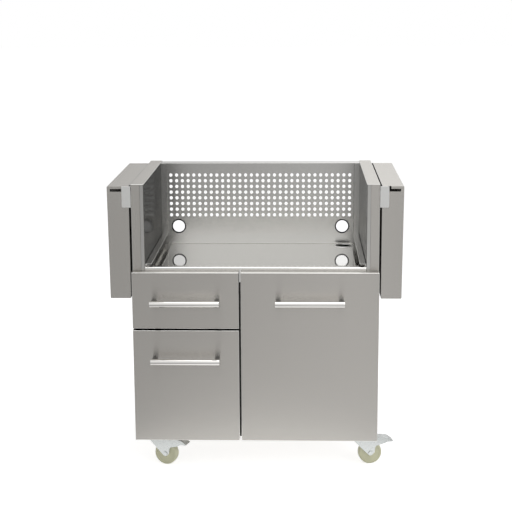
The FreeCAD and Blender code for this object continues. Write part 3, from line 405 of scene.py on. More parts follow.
def finishes():
    """Every finish by the record's slot name, made once."""
    settings = bpy.context.scene.cart_finishes
    makers = {
        "brushed_stainless": satin_stainless,
        "bright_stainless": bright_stainless,
        "polished_stainless": polished_stainless,
        "mirror_stainless": mirror_stainless,
        "shaded_wall_steel": shaded_wall_steel,
        "blasted_stainless": blasted_stainless,
        "shaded_post_steel": shaded_post_steel,
        "zinc_plated_steel": zinc_plate,
        "nylon": nylon,
        "black_rubber": black_rubber,
        "black_plastic": black_plastic,
    }
    found = {}
    for slot, maker in makers.items():
        known = bpy.data.materials.get(bpy.context.scene.get("finish_" + slot, ""))
        found[slot] = known or maker(settings)
        bpy.context.scene["finish_" + slot] = found[slot].name
    return found


# Mesh tools

def put(name, data):
    """New object in the scene."""
    placed = bpy.data.objects.new(name, data)
    bpy.context.scene.collection.objects.link(placed)
    return placed


def new_piece(name, mesh, body, slot, replaced=(), finish=None):
    """Piece of the cart that rides on a body, with the finish of its material slot or one of its own."""
    piece = put(name, mesh)
    mesh.materials.clear()
    mesh.materials.append(finishes()[finish or slot])
    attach(piece, body)
    if replaced:
        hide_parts(*replaced)
    return piece


def plain_mesh(name, made):
    """Mesh from bmesh geometry, as it is."""
    mesh = bpy.data.meshes.new(name)
    made.to_mesh(mesh)
    made.free()
    return mesh


def finished_mesh(name, made, sharp=0.0):
    """Mesh from bmesh geometry: doubles merged, faces outwards, smooth but for edges over the sharp angle."""
    bmesh.ops.remove_doubles(made, verts=made.verts, dist=DOUBLES)
    bmesh.ops.recalc_face_normals(made, faces=made.faces)
    mesh = plain_mesh(name, made)
    mesh.shade_smooth()
    if sharp:
        mesh.set_sharp_from_angle(angle=math.radians(sharp))
    return mesh


def crisp(piece, width, angle=30.0, segments=2, weld=False):
    """Round the sharp edges a little. Faces are shaded flat, so that sheets mirror without waves."""
    if weld:
        joiner = piece.modifiers.new("Join corners", "WELD")
        joiner.merge_threshold = DOUBLES
        plain = piece.modifiers.new("Clear flats", "DECIMATE")
        plain.decimate_type = "DISSOLVE"
        plain.angle_limit = SAME_FACE
    piece.data.shade_flat()
    bevel = piece.modifiers.new("Worn edges", "BEVEL")
    bevel.width = width
    bevel.segments = segments
    bevel.limit_method = "ANGLE"
    bevel.angle_limit = math.radians(angle)
    bevel.use_clamp_overlap = True


def spot(point):
    """Place that two equal points share in spite of rounding."""
    return tuple(round(part, 5) for part in point)


def fold_corners(mesh, shortest=0.02, sheet=0.004, least=math.radians(60)):
    """Ends of the long outward folds, where two faces meet that are wider than a sheet is thick."""
    made = bmesh.new()
    made.from_mesh(mesh)
    bmesh.ops.remove_doubles(made, verts=made.verts, dist=DOUBLES)
    bmesh.ops.dissolve_limit(made, angle_limit=SAME_FACE, verts=made.verts, edges=made.edges)
    found = set()
    for edge in made.edges:
        if len(edge.link_faces) != 2 or not edge.is_convex:
            continue
        if edge.calc_length() < shortest or edge.calc_face_angle() < least:
            continue
        start = edge.verts[0].co
        way = (edge.verts[1].co - start).normalized()
        reach = [max((v.co - start).cross(way).length for v in face.verts) for face in edge.link_faces]
        if min(reach) > sheet:
            found.update(spot(v.co) for v in edge.verts)
    made.free()
    return found


def folds_with_painted_highlight(piece, width):
    """Round the long folds of a sheet and give the rounding and the bends the mirror finish, a painted highlight
    along the edges; goes before the finer bevel.
    """
    corners = fold_corners(piece.data)
    group = piece.vertex_groups.new(name="Folds")
    group.add([v.index for v in piece.data.vertices if spot(v.co) in corners], 1.0, "REPLACE")
    # Faces that stand square to no axis are bends of the solid itself; the mirror finish on them is a painted
    # highlight
    for face in piece.data.polygons:
        if max(abs(part) for part in face.normal) < 0.98:
            face.material_index = 1
    piece.data.materials.append(finishes()["mirror_stainless"])
    fold = piece.modifiers.new("Folds", "BEVEL")
    fold.width = width
    fold.segments = 3
    fold.limit_method = "VGROUP"
    fold.vertex_group = "Folds"
    fold.use_clamp_overlap = True
    # The rounding of the folds takes the mirror finish: a painted highlight
    fold.material = 1
    last = len(piece.modifiers) - 1
    piece.modifiers.move(last, last - 1)


def ring_points(radius, height, count, place):
    """Points of one level circle, placed by a matrix."""
    points = []
    for i in range(count):
        turn = 2 * math.pi * i / count
        points.append(place @ Vector((radius * math.cos(turn), radius * math.sin(turn), height)))
    return points


def lathe(made, profile, place, count=64, closed=False):
    """Turn a profile of radius and height round the placed Z axis; a radius of 0 makes a pole."""
    rings = []
    for radius, height in profile:
        if radius == 0:
            rings.append([made.verts.new(place @ Vector((0, 0, height)))])
        else:
            rings.append([made.verts.new(point) for point in ring_points(radius, height, count, place)])
    for low, high in zip(rings, rings[1:] + (rings[:1] if closed else [])):
        for i in range(count):
            corners = []
            for ring, k in ((low, i), (low, i + 1), (high, i + 1), (high, i)):
                vertex = ring[k % len(ring)]
                if vertex not in corners:
                    corners.append(vertex)
            if len(corners) > 2:
                made.faces.new(corners)


def rounded_outline(points, radii, segments=6):
    """Closed outline in a plane whose corners are arcs."""
    outline = []
    count = len(points)
    for i, point in enumerate(points):
        here = Vector(point)
        if radii[i] <= 0:
            outline.append(here)
            continue
        back = (Vector(points[i - 1]) - here).normalized()
        on = (Vector(points[(i + 1) % count]) - here).normalized()
        half = back.angle(on) / 2
        centre = here + (back + on).normalized() * (radii[i] / math.sin(half))
        first = here + back * (radii[i] / math.tan(half)) - centre
        last = here + on * (radii[i] / math.tan(half)) - centre
        sweep = first.angle(last)
        for k in range(segments + 1):
            turn = sweep * k / segments
            arm = (first * math.sin(sweep - turn) + last * math.sin(turn)) / math.sin(sweep)
            outline.append(centre + arm)
    return outline


def slab(made, outline, low, high, place):
    """Solid between two copies of an outline in the placed XY plane, at two heights."""
    rings = [[made.verts.new(place @ Vector((p[0], p[1], h))) for p in outline] for h in (low, high)]
    made.faces.new(rings[0][::-1])
    made.faces.new(rings[1])
    for i in range(len(outline)):
        k = (i + 1) % len(outline)
        made.faces.new((rings[0][i], rings[0][k], rings[1][k], rings[1][i]))


def slit_hole(centre, radius, angle, reach, count=24):
    """Points that lead an outline in through a hair-thin slit, round a hole and out again."""
    hair = 0.00001
    left_open = 0.004
    way = Vector((math.cos(angle), math.sin(angle)))
    side = Vector((-way.y, way.x)) * hair
    middle = Vector(centre)
    points = [middle + way * reach - side]
    for i in range(count + 1):
        turn = angle - (2 * math.pi - left_open) * i / count - left_open / 2
        points.append(middle + Vector((math.cos(turn), math.sin(turn))) * radius)
    points.append(middle + way * reach + side)
    return points


def sheet_profile(path, sheet, bend, segments=5):
    """Outline of a sheet folded along an open path, with round bends; the sheet lies right of the path."""
    offset = []
    outer = []
    inner = []
    last = len(path) - 1
    ways = [(Vector(b) - Vector(a)).normalized() for a, b in zip(path, path[1:])]
    for i, point in enumerate(path):
        before = ways[max(i - 1, 0)]
        after = ways[min(i, last - 1)]
        shift = Vector((before.y + after.y, -(before.x + after.x))) / (1 + before.dot(after)) * sheet
        offset.append(tuple(Vector(point) + shift))
        turn = before.x * after.y - before.y * after.x
        on_ends = i in (0, last)
        outer.append(0 if on_ends else (bend + sheet if turn < 0 else bend))
        inner.append(0 if on_ends else (bend if turn < 0 else bend + sheet))
    return rounded_outline(list(path) + offset[::-1], outer + inner[::-1], segments)


def axis_place(origin, axis):
    """Matrix that takes the Z axis to an axis through a point."""
    return Matrix.Translation(origin) @ Vector(axis).to_track_quat("Z", "Y").to_matrix().to_4x4()


# Geometry Nodes

def from_tree(name, tree, values):
    """Plain mesh made by a Geometry Nodes tree whose named inputs take these values."""
    seed = bpy.data.meshes.new(name + "_seed")
    host = put(name, seed)
    modifier = host.modifiers.new(name, "NODES")
    modifier.node_group = tree
    for item in tree.interface.items_tree:
        if item.item_type == "SOCKET" and item.in_out == "INPUT" and item.name in values:
            modifier[item.identifier] = values[item.name]
    host.update_tag()
    graph = bpy.context.evaluated_depsgraph_get()
    mesh = bpy.data.meshes.new_from_object(host.evaluated_get(graph))
    mesh.name = name
    bpy.data.objects.remove(host)
    bpy.data.meshes.remove(seed)
    return mesh


def new_tree(name, inputs):
    """Geometry Nodes tree with named inputs, and the outputs of its group input."""
    tree = bpy.data.node_groups.new(name, "GeometryNodeTree")
    for label, kind, default in inputs:
        item = tree.interface.new_socket(label, in_out="INPUT", socket_type="NodeSocket" + kind)
        if default is not None:
            item.default_value = default
    tree.interface.new_socket("Geometry", in_out="OUTPUT", socket_type="NodeSocketGeometry")
    return tree, add(tree, "NodeGroupInput").outputs


def point_grid(tree, width, depth, columns, rows):
    """Level grid of points."""
    return add(tree, "GeometryNodeMeshGrid", {
        "Size X": width, "Size Y": depth, "Vertices X": columns, "Vertices Y": rows}).outputs[0]


def copies(tree, points, geometry):
    """The same geometry on every point."""
    return add(tree, "GeometryNodeInstanceOnPoints", {"Points": points, "Instance": geometry}).outputs[0]


def moved(tree, geometry, place, turn=(0.0, 0.0, 0.0)):
    """Geometry turned and put in its place."""
    return add(tree, "GeometryNodeTransform", {
        "Geometry": geometry, "Translation": place, "Rotation": turn}).outputs[0]


def joined(tree, *parts):
    """Several geometries as one."""
    whole = add(tree, "GeometryNodeJoinGeometry")
    for part in parts:
        tree.links.new(part, whole.inputs[0])
    return whole.outputs[0]


def made_real(tree, geometry):
    """Copies turned into geometry of their own."""
    return add(tree, "GeometryNodeRealizeInstances", {0: geometry}).outputs[0]


def end_tree(tree, geometry, material):
    """Close a tree: copies made real, faces given their material."""
    coated = add(tree, "GeometryNodeSetMaterial", {
        "Geometry": made_real(tree, geometry), "Material": material})
    add(tree, "NodeGroupOutput", {0: coated.outputs[0]})


# Sheet metal and other solids that keep their shape

# Pieces whose finish isn't that of their material slot. Both finishes used here paint shade into narrow gaps
OWN_FINISHES = {
    "left_shelf_bracket": "blasted_stainless",
    "right_shelf_bracket": "blasted_stainless",
    "centre_divider": "brushed_stainless",
}

# Sheets whose upright walls get a darker steel as painted shade
SHADED_WALLS = ("left_bay_liner", "right_bay_liner")

# Sheets whose long folds show, with the rounding of those folds in metres; the rounding carries a painted
# highlight
FOLDED = {
    "left_side_panel": 0.0013,
    "right_side_panel": 0.0013,
    "left_bay_liner": 0.0011,
    "right_bay_liner": 0.0011,
    "upper_drawer_front": 0.0016,
    "lower_drawer_front": 0.0016,
    "door_skin": 0.0016,
    "bottom_pan": 0.001,
    "back_top_cap": 0.0012,
    "grill_support_rails": 0.0006,
}

# Wear of the edges of all other solids, by material slot, in metres
KEPT_EDGES = {
    "brushed_stainless": 0.0005,
    "bright_stainless": 0.0004,
    "polished_stainless": 0.0004,
    "zinc_plated_steel": 0.0004,
    "nylon": 0.0006,
    "black_rubber": 0.0004,
    "black_plastic": 0.0008,
}


class GRILLCART_OT_sheet_metal(bpy.types.Operator):
    """Give every solid of the cart its finish and slightly worn edges"""
    bl_idname = "grillcart.sheet_metal"
    bl_label = "Sheet metal"

    def execute(self, context):
        made = finishes()
        for entry in frame["record"]["subparts"]:
            node = NODES[entry["node"]]
            slot = entry["material_slot"]
            node.data.materials.clear()
            node.data.materials.append(made[OWN_FINISHES.get(entry["node"], slot)])
            if entry["node"] in FOLDED:
                crisp(node, width=0.0003, angle=40.0, weld=True)
                folds_with_painted_highlight(node, FOLDED[entry["node"]])
                if entry["node"] in SHADED_WALLS:
                    # The upright walls take the darker steel: painted shade
                    node.data.materials.append(made["shaded_wall_steel"])
                    for face in node.data.polygons:
                        if abs(face.normal.x) > 0.7:
                            face.material_index = 2
            else:
                crisp(node, KEPT_EDGES[slot], weld=True)
        return {"FINISHED"}


# Bay

def perforated_sheet_tree():
    """Flat sheet with a grid of round holes and two larger ones, drawn level and stood up."""
    tree, given = new_tree("perforated_sheet", [
        ("Width", "Float", 0.688), ("Height", "Float", 0.28), ("Sheet", "Float", 0.0012),
        ("Hole", "Float", 0.012), ("Pitch", "Float", 0.02), ("Columns", "Int", 32), ("Rows", "Int", 8),
        ("Grid Height", "Float", 0.0), ("Port Spacing", "Float", 0.57), ("Port Height", "Float", 0.0),
        ("Port Hole", "Float", 0.046), ("Place", "Vector", (0, 0, 0)), ("Material", "Material", None)])

    def reach(count):
        return reckon(tree, "MULTIPLY", reckon(tree, "SUBTRACT", count, 1.0), given["Pitch"])

    def circle(diameter, corners):
        return add(tree, "GeometryNodeCurvePrimitiveCircle", {
            "Resolution": corners, "Radius": reckon(tree, "MULTIPLY", diameter, 0.5)}).outputs[0]

    rim = add(tree, "GeometryNodeCurvePrimitiveQuadrilateral", {
        "Width": given["Width"], "Height": given["Height"]}).outputs[0]
    spots = point_grid(tree, reach(given["Columns"]), reach(given["Rows"]), given["Columns"], given["Rows"])
    spots = moved(tree, spots, combined(tree, y=given["Grid Height"]))
    holes = copies(tree, spots, circle(given["Hole"], 24))
    start, end = [
        combined(tree, reckon(tree, "MULTIPLY", given["Port Spacing"], side / 2), given["Port Height"])
        for side in (1, -1)]
    line = add(tree, "GeometryNodeCurvePrimitiveLine", {"Start": start, "End": end})
    ends = add(tree, "GeometryNodeCurveToPoints", {"Curve": line.outputs[0], "Count": 2}, mode="COUNT")
    ports = copies(tree, ends.outputs["Points"], circle(given["Port Hole"], 64))
    flat = add(tree, "GeometryNodeFillCurve", {0: made_real(tree, joined(tree, rim, holes, ports))})
    lifted = add(tree, "GeometryNodeExtrudeMesh", {
        "Mesh": flat.outputs[0], "Offset Scale": given["Sheet"], "Individual": False})
    under = add(tree, "GeometryNodeFlipFaces", {0: flat.outputs[0]})
    closed = add(tree, "GeometryNodeMergeByDistance", {
        "Geometry": joined(tree, lifted.outputs[0], under.outputs[0]), "Distance": DOUBLES})
    stood = moved(tree, closed.outputs[0], given["Place"], (math.pi / 2, 0.0, 0.0))
    end_tree(tree, stood, given["Material"])
    return tree


class GRILLCART_OT_back_panel(bpy.types.Operator):
    """Back of the grill bay: punched sheet, its folded foot and its end flanges"""
    bl_idname = "grillcart.back_panel"
    bl_label = "Perforated back"

    def execute(self, context):
        settings = context.scene.cart_back
        sheet = settings.sheet
        low = FLOOR_Z + sheet + settings.bend
        middle = (low + BACK_TOP_Z) / 2
        rows_middle = settings.top_row - settings.pitch * (settings.rows - 1) / 2
        port_x = RINGS_HIGH.x - context.scene.cart_rings.port_rim / 2
        mesh = from_tree("perforated_back", perforated_sheet_tree(), {
            "Width": 2 * BAY_HALF, "Height": BACK_TOP_Z - low, "Sheet": sheet,
            "Hole": settings.hole, "Pitch": settings.pitch,
            "Columns": settings.columns, "Rows": settings.rows, "Grid Height": rows_middle - middle,
            "Port Spacing": 2 * port_x, "Port Height": PORT_Z - middle, "Port Hole": settings.port_seat,
            "Place": (0.0, BACK_FACE_Y + sheet, middle), "Material": finishes()["bright_stainless"]})
        made = bmesh.new()
        made.from_mesh(mesh)
        back = BACK_FACE_Y + settings.foot
        foot = [(back, FLOOR_Z), (BACK_FACE_Y, FLOOR_Z), (BACK_FACE_Y, low)]
        slab(made, sheet_profile(foot, sheet, settings.bend), -BAY_HALF, BAY_HALF, SIDE_VIEW)
        near = BACK_FACE_Y + sheet
        bottom = FLOOR_Z + sheet
        top = BACK_TOP_Z - settings.flange_gap
        flange = [(near, bottom), (back, bottom), (back, top), (near, top)]
        for side in (-1, 1):
            edges = sorted((side * BAY_HALF, side * (BAY_HALF - sheet)))
            slab(made, flange, edges[0], edges[1], SIDE_VIEW)
        piece = new_piece("perforated_back", finished_mesh("perforated_back", made), "cabinet",
                          "bright_stainless", ("perforated_back_panel",))
        crisp(piece, width=0.00035, segments=1)
        return {"FINISHED"}


class GRILLCART_OT_bay_floor(bpy.types.Operator):
    """Mirror floor of the bay, folded round at the front into the lip"""
    bl_idname = "grillcart.bay_floor"
    bl_label = "Bay floor"

    def execute(self, context):
        settings = context.scene.cart_floor
        sheet = context.scene.cart_back.sheet
        low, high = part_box("bay_floor")
        hose_low, hose_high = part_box("hose_bushing")
        back = low.y + settings.lip
        seam = back + 0.02
        made = bmesh.new()
        lip = sheet_profile(
            [(low.y, low.z), (low.y, high.z), (back, high.z), (back, FLOOR_Z), (seam, FLOOR_Z)],
            sheet, settings.bend, segments=8)
        slab(made, lip, low.x, high.x, SIDE_VIEW)
        hole = (hose_low + hose_high) / 2
        hole_radius = context.scene.cart_rings.hose_rim / 2 - SLEEVE_LIP + SLEEVE_PLAY
        plate = [Vector(point) for point in ((low.x, seam), (high.x, seam))]
        plate += slit_hole((hole.x, hole.y), hole_radius, 0.0, high.x - hole.x, count=48)
        plate += [Vector(point) for point in ((high.x, high.y), (low.x, high.y))]
        under = FLOOR_Z - sheet
        slab(made, plate, under, FLOOR_Z, LEVEL)
        inside = high.y - sheet
        rear = [(inside, low.z), (high.y, low.z), (high.y, under), (inside, under)]
        slab(made, rear, low.x, high.x, SIDE_VIEW)
        new_piece("lipped_floor", finished_mesh("lipped_floor", made), "cabinet", "bright_stainless",
                  ("bay_floor",), "mirror_stainless").data.shade_flat()
        return {"FINISHED"}


class GRILLCART_OT_rings(bpy.types.Operator):
    """Rubber rings in the two ports and the rimmed sleeve of the hose hole"""
    bl_idname = "grillcart.rings"
    bl_label = "Rings and sleeve"

    def execute(self, context):
        settings = context.scene.cart_rings
        sheet = context.scene.cart_back.sheet
        seat = context.scene.cart_back.port_seat / 2
        rim = settings.port_rim / 2
        bore = settings.port_bore / 2
        lip = settings.port_lip
        # The lip in front of the sheet, from the bore to the seat, and the same lip behind it
        front = [(bore, 0.0008 - lip), (bore + 0.0008, -lip), (rim - 0.0012, -lip),
                 (rim - 0.0003, 0.0005 - lip), (rim, 0.0014 - lip), (rim, 0.0), (seat, 0.0)]
        profile = front + [(radius, sheet - depth) for radius, depth in front[::-1]]
        made = bmesh.new()
        for side in (-1, 1):
            centre = (side * (RINGS_HIGH.x - rim), BACK_FACE_Y, PORT_Z)
            lathe(made, profile, axis_place(centre, (0, 1, 0)), closed=True)
        new_piece("port_rings", finished_mesh("port_rings", made, 32), "cabinet", "black_rubber",
                  ("hole_grommets",))
        low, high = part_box("hose_bushing")
        centre = ((low.x + high.x) / 2, (low.y + high.y) / 2, 0.0)
        bore = settings.hose_bore / 2
        rim = settings.hose_rim / 2
        neck = rim - SLEEVE_LIP
        soft = 0.0004
        top = FLOOR_Z + 0.0012
        halfway = FLOOR_Z + 0.0006
        profile = [
            (bore, low.z + soft), (bore + soft, low.z), (neck, low.z), (neck, FLOOR_Z), (rim, FLOOR_Z),
            (rim - soft, halfway), (neck, top), (bore + 0.0014, top), (bore + soft, halfway),
            (bore, FLOOR_Z - 0.001)]
        made = bmesh.new()
        lathe(made, profile, axis_place(centre, (0, 0, 1)), closed=True)
        new_piece("hose_sleeve", finished_mesh("hose_sleeve", made, 32), "cabinet", "bright_stainless",
                  ("hose_bushing",), "blasted_stainless")
        return {"FINISHED"}


# Drawer boxes

def rectangle(made, low, high, inset, height):
    """Corners of a level rectangle drawn in from a box by an inset."""
    return [made.verts.new((x, y, height)) for x, y in (
        (low.x + inset, low.y + inset), (high.x - inset, low.y + inset),
        (high.x - inset, high.y - inset), (low.x + inset, high.y - inset))]


class GRILLCART_OT_drawer_boxes(bpy.types.Operator):
    """Drawer boxes of bright sheet with the tops of their walls hemmed inwards"""
    bl_idname = "grillcart.drawer_boxes"
    bl_label = "Drawer boxes"

    def execute(self, context):
        sheet = context.scene.cart_back.sheet
        hem = 0.008
        for drawer in ("upper_drawer", "lower_drawer"):
            low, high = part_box(drawer + "_box")
            under = high.z - sheet
            steps = [(0.0, low.z), (0.0, high.z), (hem, high.z), (hem, under),
                     (sheet, under), (sheet, low.z + sheet)]
            made = bmesh.new()
            loops = [rectangle(made, low, high, inset, height) for inset, height in steps]
            made.faces.new(loops[0])
            made.faces.new(loops[-1])
            for first, second in zip(loops, loops[1:]):
                for i in range(4):
                    k = (i + 1) % 4
                    made.faces.new((first[i], first[k], second[k], second[i]))
            mesh = finished_mesh(drawer + "_tray", made)
            piece = new_piece(drawer + "_tray", mesh, drawer, "bright_stainless", (drawer + "_box",))
            crisp(piece, width=0.0005)
        return {"FINISHED"}


# Handles

class GRILLCART_OT_handles(bpy.types.Operator):
    """Polished bars on two posts, one on each drawer and one on the door"""
    bl_idname = "grillcart.handles"
    bl_label = "Handles"

    def execute(self, context):
        settings = context.scene.cart_handles
        radius = settings.bar / 2
        edge = settings.edge
        foot = settings.post / 2
        soft = 0.0006
        for front in FRONTS:
            bar_name = front + "_handle_bar"
            low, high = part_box(bar_name)
            middle = (low + high) / 2
            half = (high.x - low.x) / 2
            profile = [(0, -half)]
            for k in range(6):
                turn = math.pi / 2 * k / 5
                profile.append((radius - edge + edge * math.sin(turn), edge - half - edge * math.cos(turn)))
            profile += [(r, -h) for r, h in profile[::-1]]
            made = bmesh.new()
            lathe(made, profile, axis_place(middle, (1, 0, 0)), count=72)
            mesh = finished_mesh(front + "_bar", made)
            new_piece(front + "_bar", mesh, front, "polished_stainless", (bar_name,))
            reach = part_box(front + "_handle_posts")[1].y - middle.y
            post = [(0, 0.0), (foot - soft, 0.0), (foot, soft), (foot, reach - 0.0015), (foot, reach),
                    (0, reach)]
            made = bmesh.new()
            for side in (-1, 1):
                x = middle.x + side * (half - settings.post_inset)
                lathe(made, post, axis_place((x, middle.y, middle.z), (0, 1, 0)), count=56)
            mesh = finished_mesh(front + "_posts", made, 32)
            new_piece(front + "_posts", mesh, front, "polished_stainless", (front + "_handle_posts",),
                      "shaded_post_steel")
        return {"FINISHED"}


# Casters

# Play of the hub between the legs, and of the axle in the hub
FORK_PLAY = 0.0003
AXLE_PLAY = 0.00025


def caster_place(name):
    """Matrix that takes a caster drawn round the origin, trailing along X, to its corner."""
    swivel = JOINTS[name + "_swivel"]["pos_m"]
    roll = JOINTS[name + "_roll"]
    angle = math.atan2(-roll["axis"][0], roll["axis"][1])
    return Matrix.Translation((swivel[0], swivel[1], 0)) @ Matrix.Rotation(angle, 4, "Z")


def fork_mesh(name, settings, has_pedal):
    """Pressed fork in its corner: two legs drawn in above the wheel, a crown and a grooved ball race."""
    place = caster_place(name)
    back = place.inverted()
    axle = back @ Vector(JOINTS[name + "_roll"]["pos_m"])
    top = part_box(name + "_caster_fork")[1].z
    crown_top = top - settings.race
    leg_in = settings.hub / 2 + FORK_PLAY
    leg_out = leg_in + settings.leg
    nose = axle.z - settings.nose * math.sqrt(2)
    rear, crown_front, front = -0.020, 0.024, 0.084
    # A leg from the side: down the rear, round the axle, and up and out along the concave edge
    outline = rounded_outline(
        [(rear, crown_top), (rear, nose + axle.x - rear), (axle.x, nose), (axle.x + 0.0135, nose + 0.0135),
         (axle.x + 0.0165, nose + 0.0350), (axle.x + 0.0400, nose + 0.0405), (front, nose + 0.0475),
         (front, crown_top)],
        [0.0, 0.0, settings.nose, 0.005, 0.008, 0.004, 0.0015, 0.003])
    if has_pedal:
        pivot = back @ Vector(JOINTS[name + "_brake"]["pos_m"])
        entry = max(i for i, point in enumerate(outline) if point.y < pivot.z) + 1
        outline[entry:entry] = slit_hole((pivot.x, pivot.z), settings.pedal_hole / 2, 0.0, front - pivot.x)
    made = bmesh.new()
    for low, high in ((-leg_out, -leg_in), (leg_in, leg_out)):
        slab(made, outline, low, high, place @ FRONT_VIEW)
    bore = settings.kingpin / 2
    half = leg_out - 0.0001
    crown = [Vector(point) for point in (
        (rear, -half), (crown_front, -half), (crown_front, half), (rear, half))]
    crown += slit_hole((0.0, 0.0), bore, math.pi, -rear)
    slab(made, crown, crown_top - settings.crown, crown_top - 0.0001, place)
    # The ball race, with a groove where its two halves turn on each other
    lathe(made, [(bore, crown_top - 0.0002), (0.0200, crown_top - 0.0002), (0.0206, crown_top + 0.0008),
                 (0.0206, crown_top + 0.0020), (0.0198, crown_top + 0.0028), (0.0198, crown_top + 0.0036),
                 (0.0210, crown_top + 0.0044), (0.0210, top - 0.0006), (0.0204, top), (bore, top)],
          place, closed=True)
    return finished_mesh(name + "_fork", made)


class GRILLCART_OT_casters(bpy.types.Operator):
    """Four moulded wheels with crowned treads, and the pressed forks that they turn in"""
    bl_idname = "grillcart.casters"
    bl_label = "Caster wheels"

    def execute(self, context):
        settings = context.scene.cart_casters
        radius = settings.wheel / 2
        half = settings.tread / 2
        hub = settings.hub / 2
        bore = settings.axle / 2 + AXLE_PLAY
        # Half of the section, from the middle of the tread over its shoulder and in to the bore
        side = [(radius, 0.0), (radius - 0.0001, half * 0.5), (radius - 0.0006, half - 0.0026),
                (radius - 0.0018, half - 0.0010), (radius - 0.0036, half), (radius - 0.0065, half),
                (radius - 0.0080, half - 0.0018), (0.0135, half - 0.0022), (0.0120, half - 0.0006),
                (0.0112, hub), (bore + 0.0006, hub), (bore, hub - 0.0006)]
        profile = [(r, -h) for r, h in side[:0:-1]] + side
        for name in CASTERS:
            made = bmesh.new()
            place = caster_place(name)
            centre = place.inverted() @ Vector(JOINTS[name + "_roll"]["pos_m"])
            lathe(made, profile, place @ axis_place(centre, (0, 1, 0)), count=80, closed=True)
            mesh = finished_mesh(name + "_tyre", made, 40)
            new_piece(name + "_tyre", mesh, name + "_wheel", "nylon", (name + "_caster_wheel",))
            mesh = fork_mesh(name, settings, has_pedal=name + "_brake" in JOINTS)
            fork = new_piece(name + "_fork", mesh, name + "_caster", "zinc_plated_steel",
                             (name + "_caster_fork",))
            crisp(fork, width=0.0004, angle=40.0)
        return {"FINISHED"}


# Screws and bolts

def bolt_tree():
    """Hexagon bolts with washers and nuts at the corners of plates that stand in a rectangle."""
    tree, given = new_tree("plate_bolts", [
        ("Plates X", "Float", 0.652), ("Plates Y", "Float", 0.49), ("Spacing", "Float", 0.048),
        ("Across Flats", "Float", 0.013), ("Head", "Float", 0.0046), ("Nut", "Float", 0.0065),
        ("Grip", "Float", 0.0037), ("Place", "Vector", (0, 0, 0)), ("Material", "Material", None)])
    hexagon = 1 / math.sqrt(3)
    washer = 0.001
    end = 0.0045
    end_rise = 0.0005

    def disc(sides, share, depth, height):
        """Prism on the bolt's axis, whose radius is a share of the width across flats."""
        radius = reckon(tree, "MULTIPLY", given["Across Flats"], share)
        body = add(tree, "GeometryNodeMeshCylinder", {"Vertices": sides, "Depth": depth, "Radius": radius})
        return moved(tree, body.outputs[0], combined(tree, z=height))

    plates = point_grid(tree, given["Plates X"], given["Plates Y"], 2, 2)
    corners = point_grid(tree, given["Spacing"], given["Spacing"], 2, 2)
    spots = made_real(tree, copies(tree, plates, corners))
    head_z = reckon(tree, "ADD", reckon(tree, "MULTIPLY", given["Head"], -0.5), -washer)
    nut_z = reckon(tree, "ADD", given["Grip"], reckon(tree, "MULTIPLY", given["Nut"], 0.5))
    end_z = reckon(tree, "ADD", reckon(tree, "ADD", given["Grip"], given["Nut"]), end_rise)
    bolt = joined(
        tree, disc(6, hexagon, given["Head"], head_z), disc(28, 0.62, washer, -washer / 2),
        disc(6, hexagon, given["Nut"], nut_z), disc(20, 0.3, end, end_z))
    end_tree(tree, moved(tree, copies(tree, spots, bolt), given["Place"]), given["Material"])
    return tree


def screw_tree():
    """Pan-head screws with a cross recess in two upright rows, their heads to the rear."""
    tree, given = new_tree("rear_screws", [
        ("Width", "Float", 0.74), ("Run", "Float", 0.45), ("Count", "Int", 5), ("Head", "Float", 0.008),
        ("Rise", "Float", 0.0024), ("Place", "Vector", (0, 0, 0)), ("Material", "Material", None)])
    half, crown, slot = [reckon(tree, "MULTIPLY", given["Head"], share) for share in (0.5, 0.33, 0.12)]
    head = add(tree, "GeometryNodeMeshCone", {
        "Vertices": 28, "Radius Top": crown, "Radius Bottom": half, "Depth": given["Rise"]})
    recessed = add(tree, "GeometryNodeMeshBoolean", {0: head.outputs[0]}, operation="DIFFERENCE")
    for x, y in ((half, slot), (slot, half)):
        block = add(tree, "GeometryNodeMeshCube", {"Size": combined(tree, x, y, given["Rise"])})
        tree.links.new(moved(tree, block.outputs[0], combined(tree, z=given["Rise"])), recessed.inputs[1])
    spots = point_grid(tree, given["Width"], given["Run"], 2, given["Count"])
    screws = copies(tree, spots, recessed.outputs[0])
    end_tree(tree, moved(tree, screws, given["Place"], (-math.pi / 2, 0.0, 0.0)), given["Material"])
    return tree


class GRILLCART_OT_fasteners(bpy.types.Operator):
    """Bolts of the caster plates and screws down the rear edges"""
    bl_idname = "grillcart.fasteners"
    bl_label = "Screws and bolts"

    def execute(self, context):
        settings = context.scene.cart_fasteners
        zinc = finishes()["zinc_plated_steel"]
        along_x, along_y, _ = zip(*[JOINTS[name + "_swivel"]["pos_m"] for name in CASTERS])
        pan_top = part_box("bottom_pan")[0].z + context.scene.cart_back.sheet
        plate_under = PLATES_TOP - settings.plate
        mesh = from_tree("caster_bolts", bolt_tree(), {
            "Plates X": max(along_x) - min(along_x), "Plates Y": max(along_y) - min(along_y),
            "Spacing": settings.bolt_spacing, "Across Flats": context.scene.cart_casters.head,
            "Grip": pan_top - plate_under, "Place": (0.0, (max(along_y) + min(along_y)) / 2, plate_under),
            "Material": zinc})
        crisp(new_piece("caster_bolts", mesh, "cabinet", "zinc_plated_steel"), width=0.0005)
        low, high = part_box("lower_back_panel")
        mesh = from_tree("rear_screws", screw_tree(), {
            "Width": 2 * (SIDE_HIGH.x - settings.side_inset), "Run": high.z - low.z - 2 * settings.end_inset,
            "Count": settings.screw_count, "Head": settings.screw_head,
            "Place": (0.0, SIDE_HIGH.y, (low.z + high.z) / 2), "Material": zinc})
        crisp(new_piece("rear_screws", mesh, "cabinet", "zinc_plated_steel"), width=0.0003, segments=1)
        return {"FINISHED"}


# Stage

# Camera fitted to the photograph: its place in metres, and its angles in radians
CAMERA_PLACE = (0.13783, -4.11378, 1.49852)
CAMERA_TURN = 0.0350
CAMERA_DIP = 0.2057
CAMERA_TILT = -0.0060
FLOOR_GLOW = 0.68


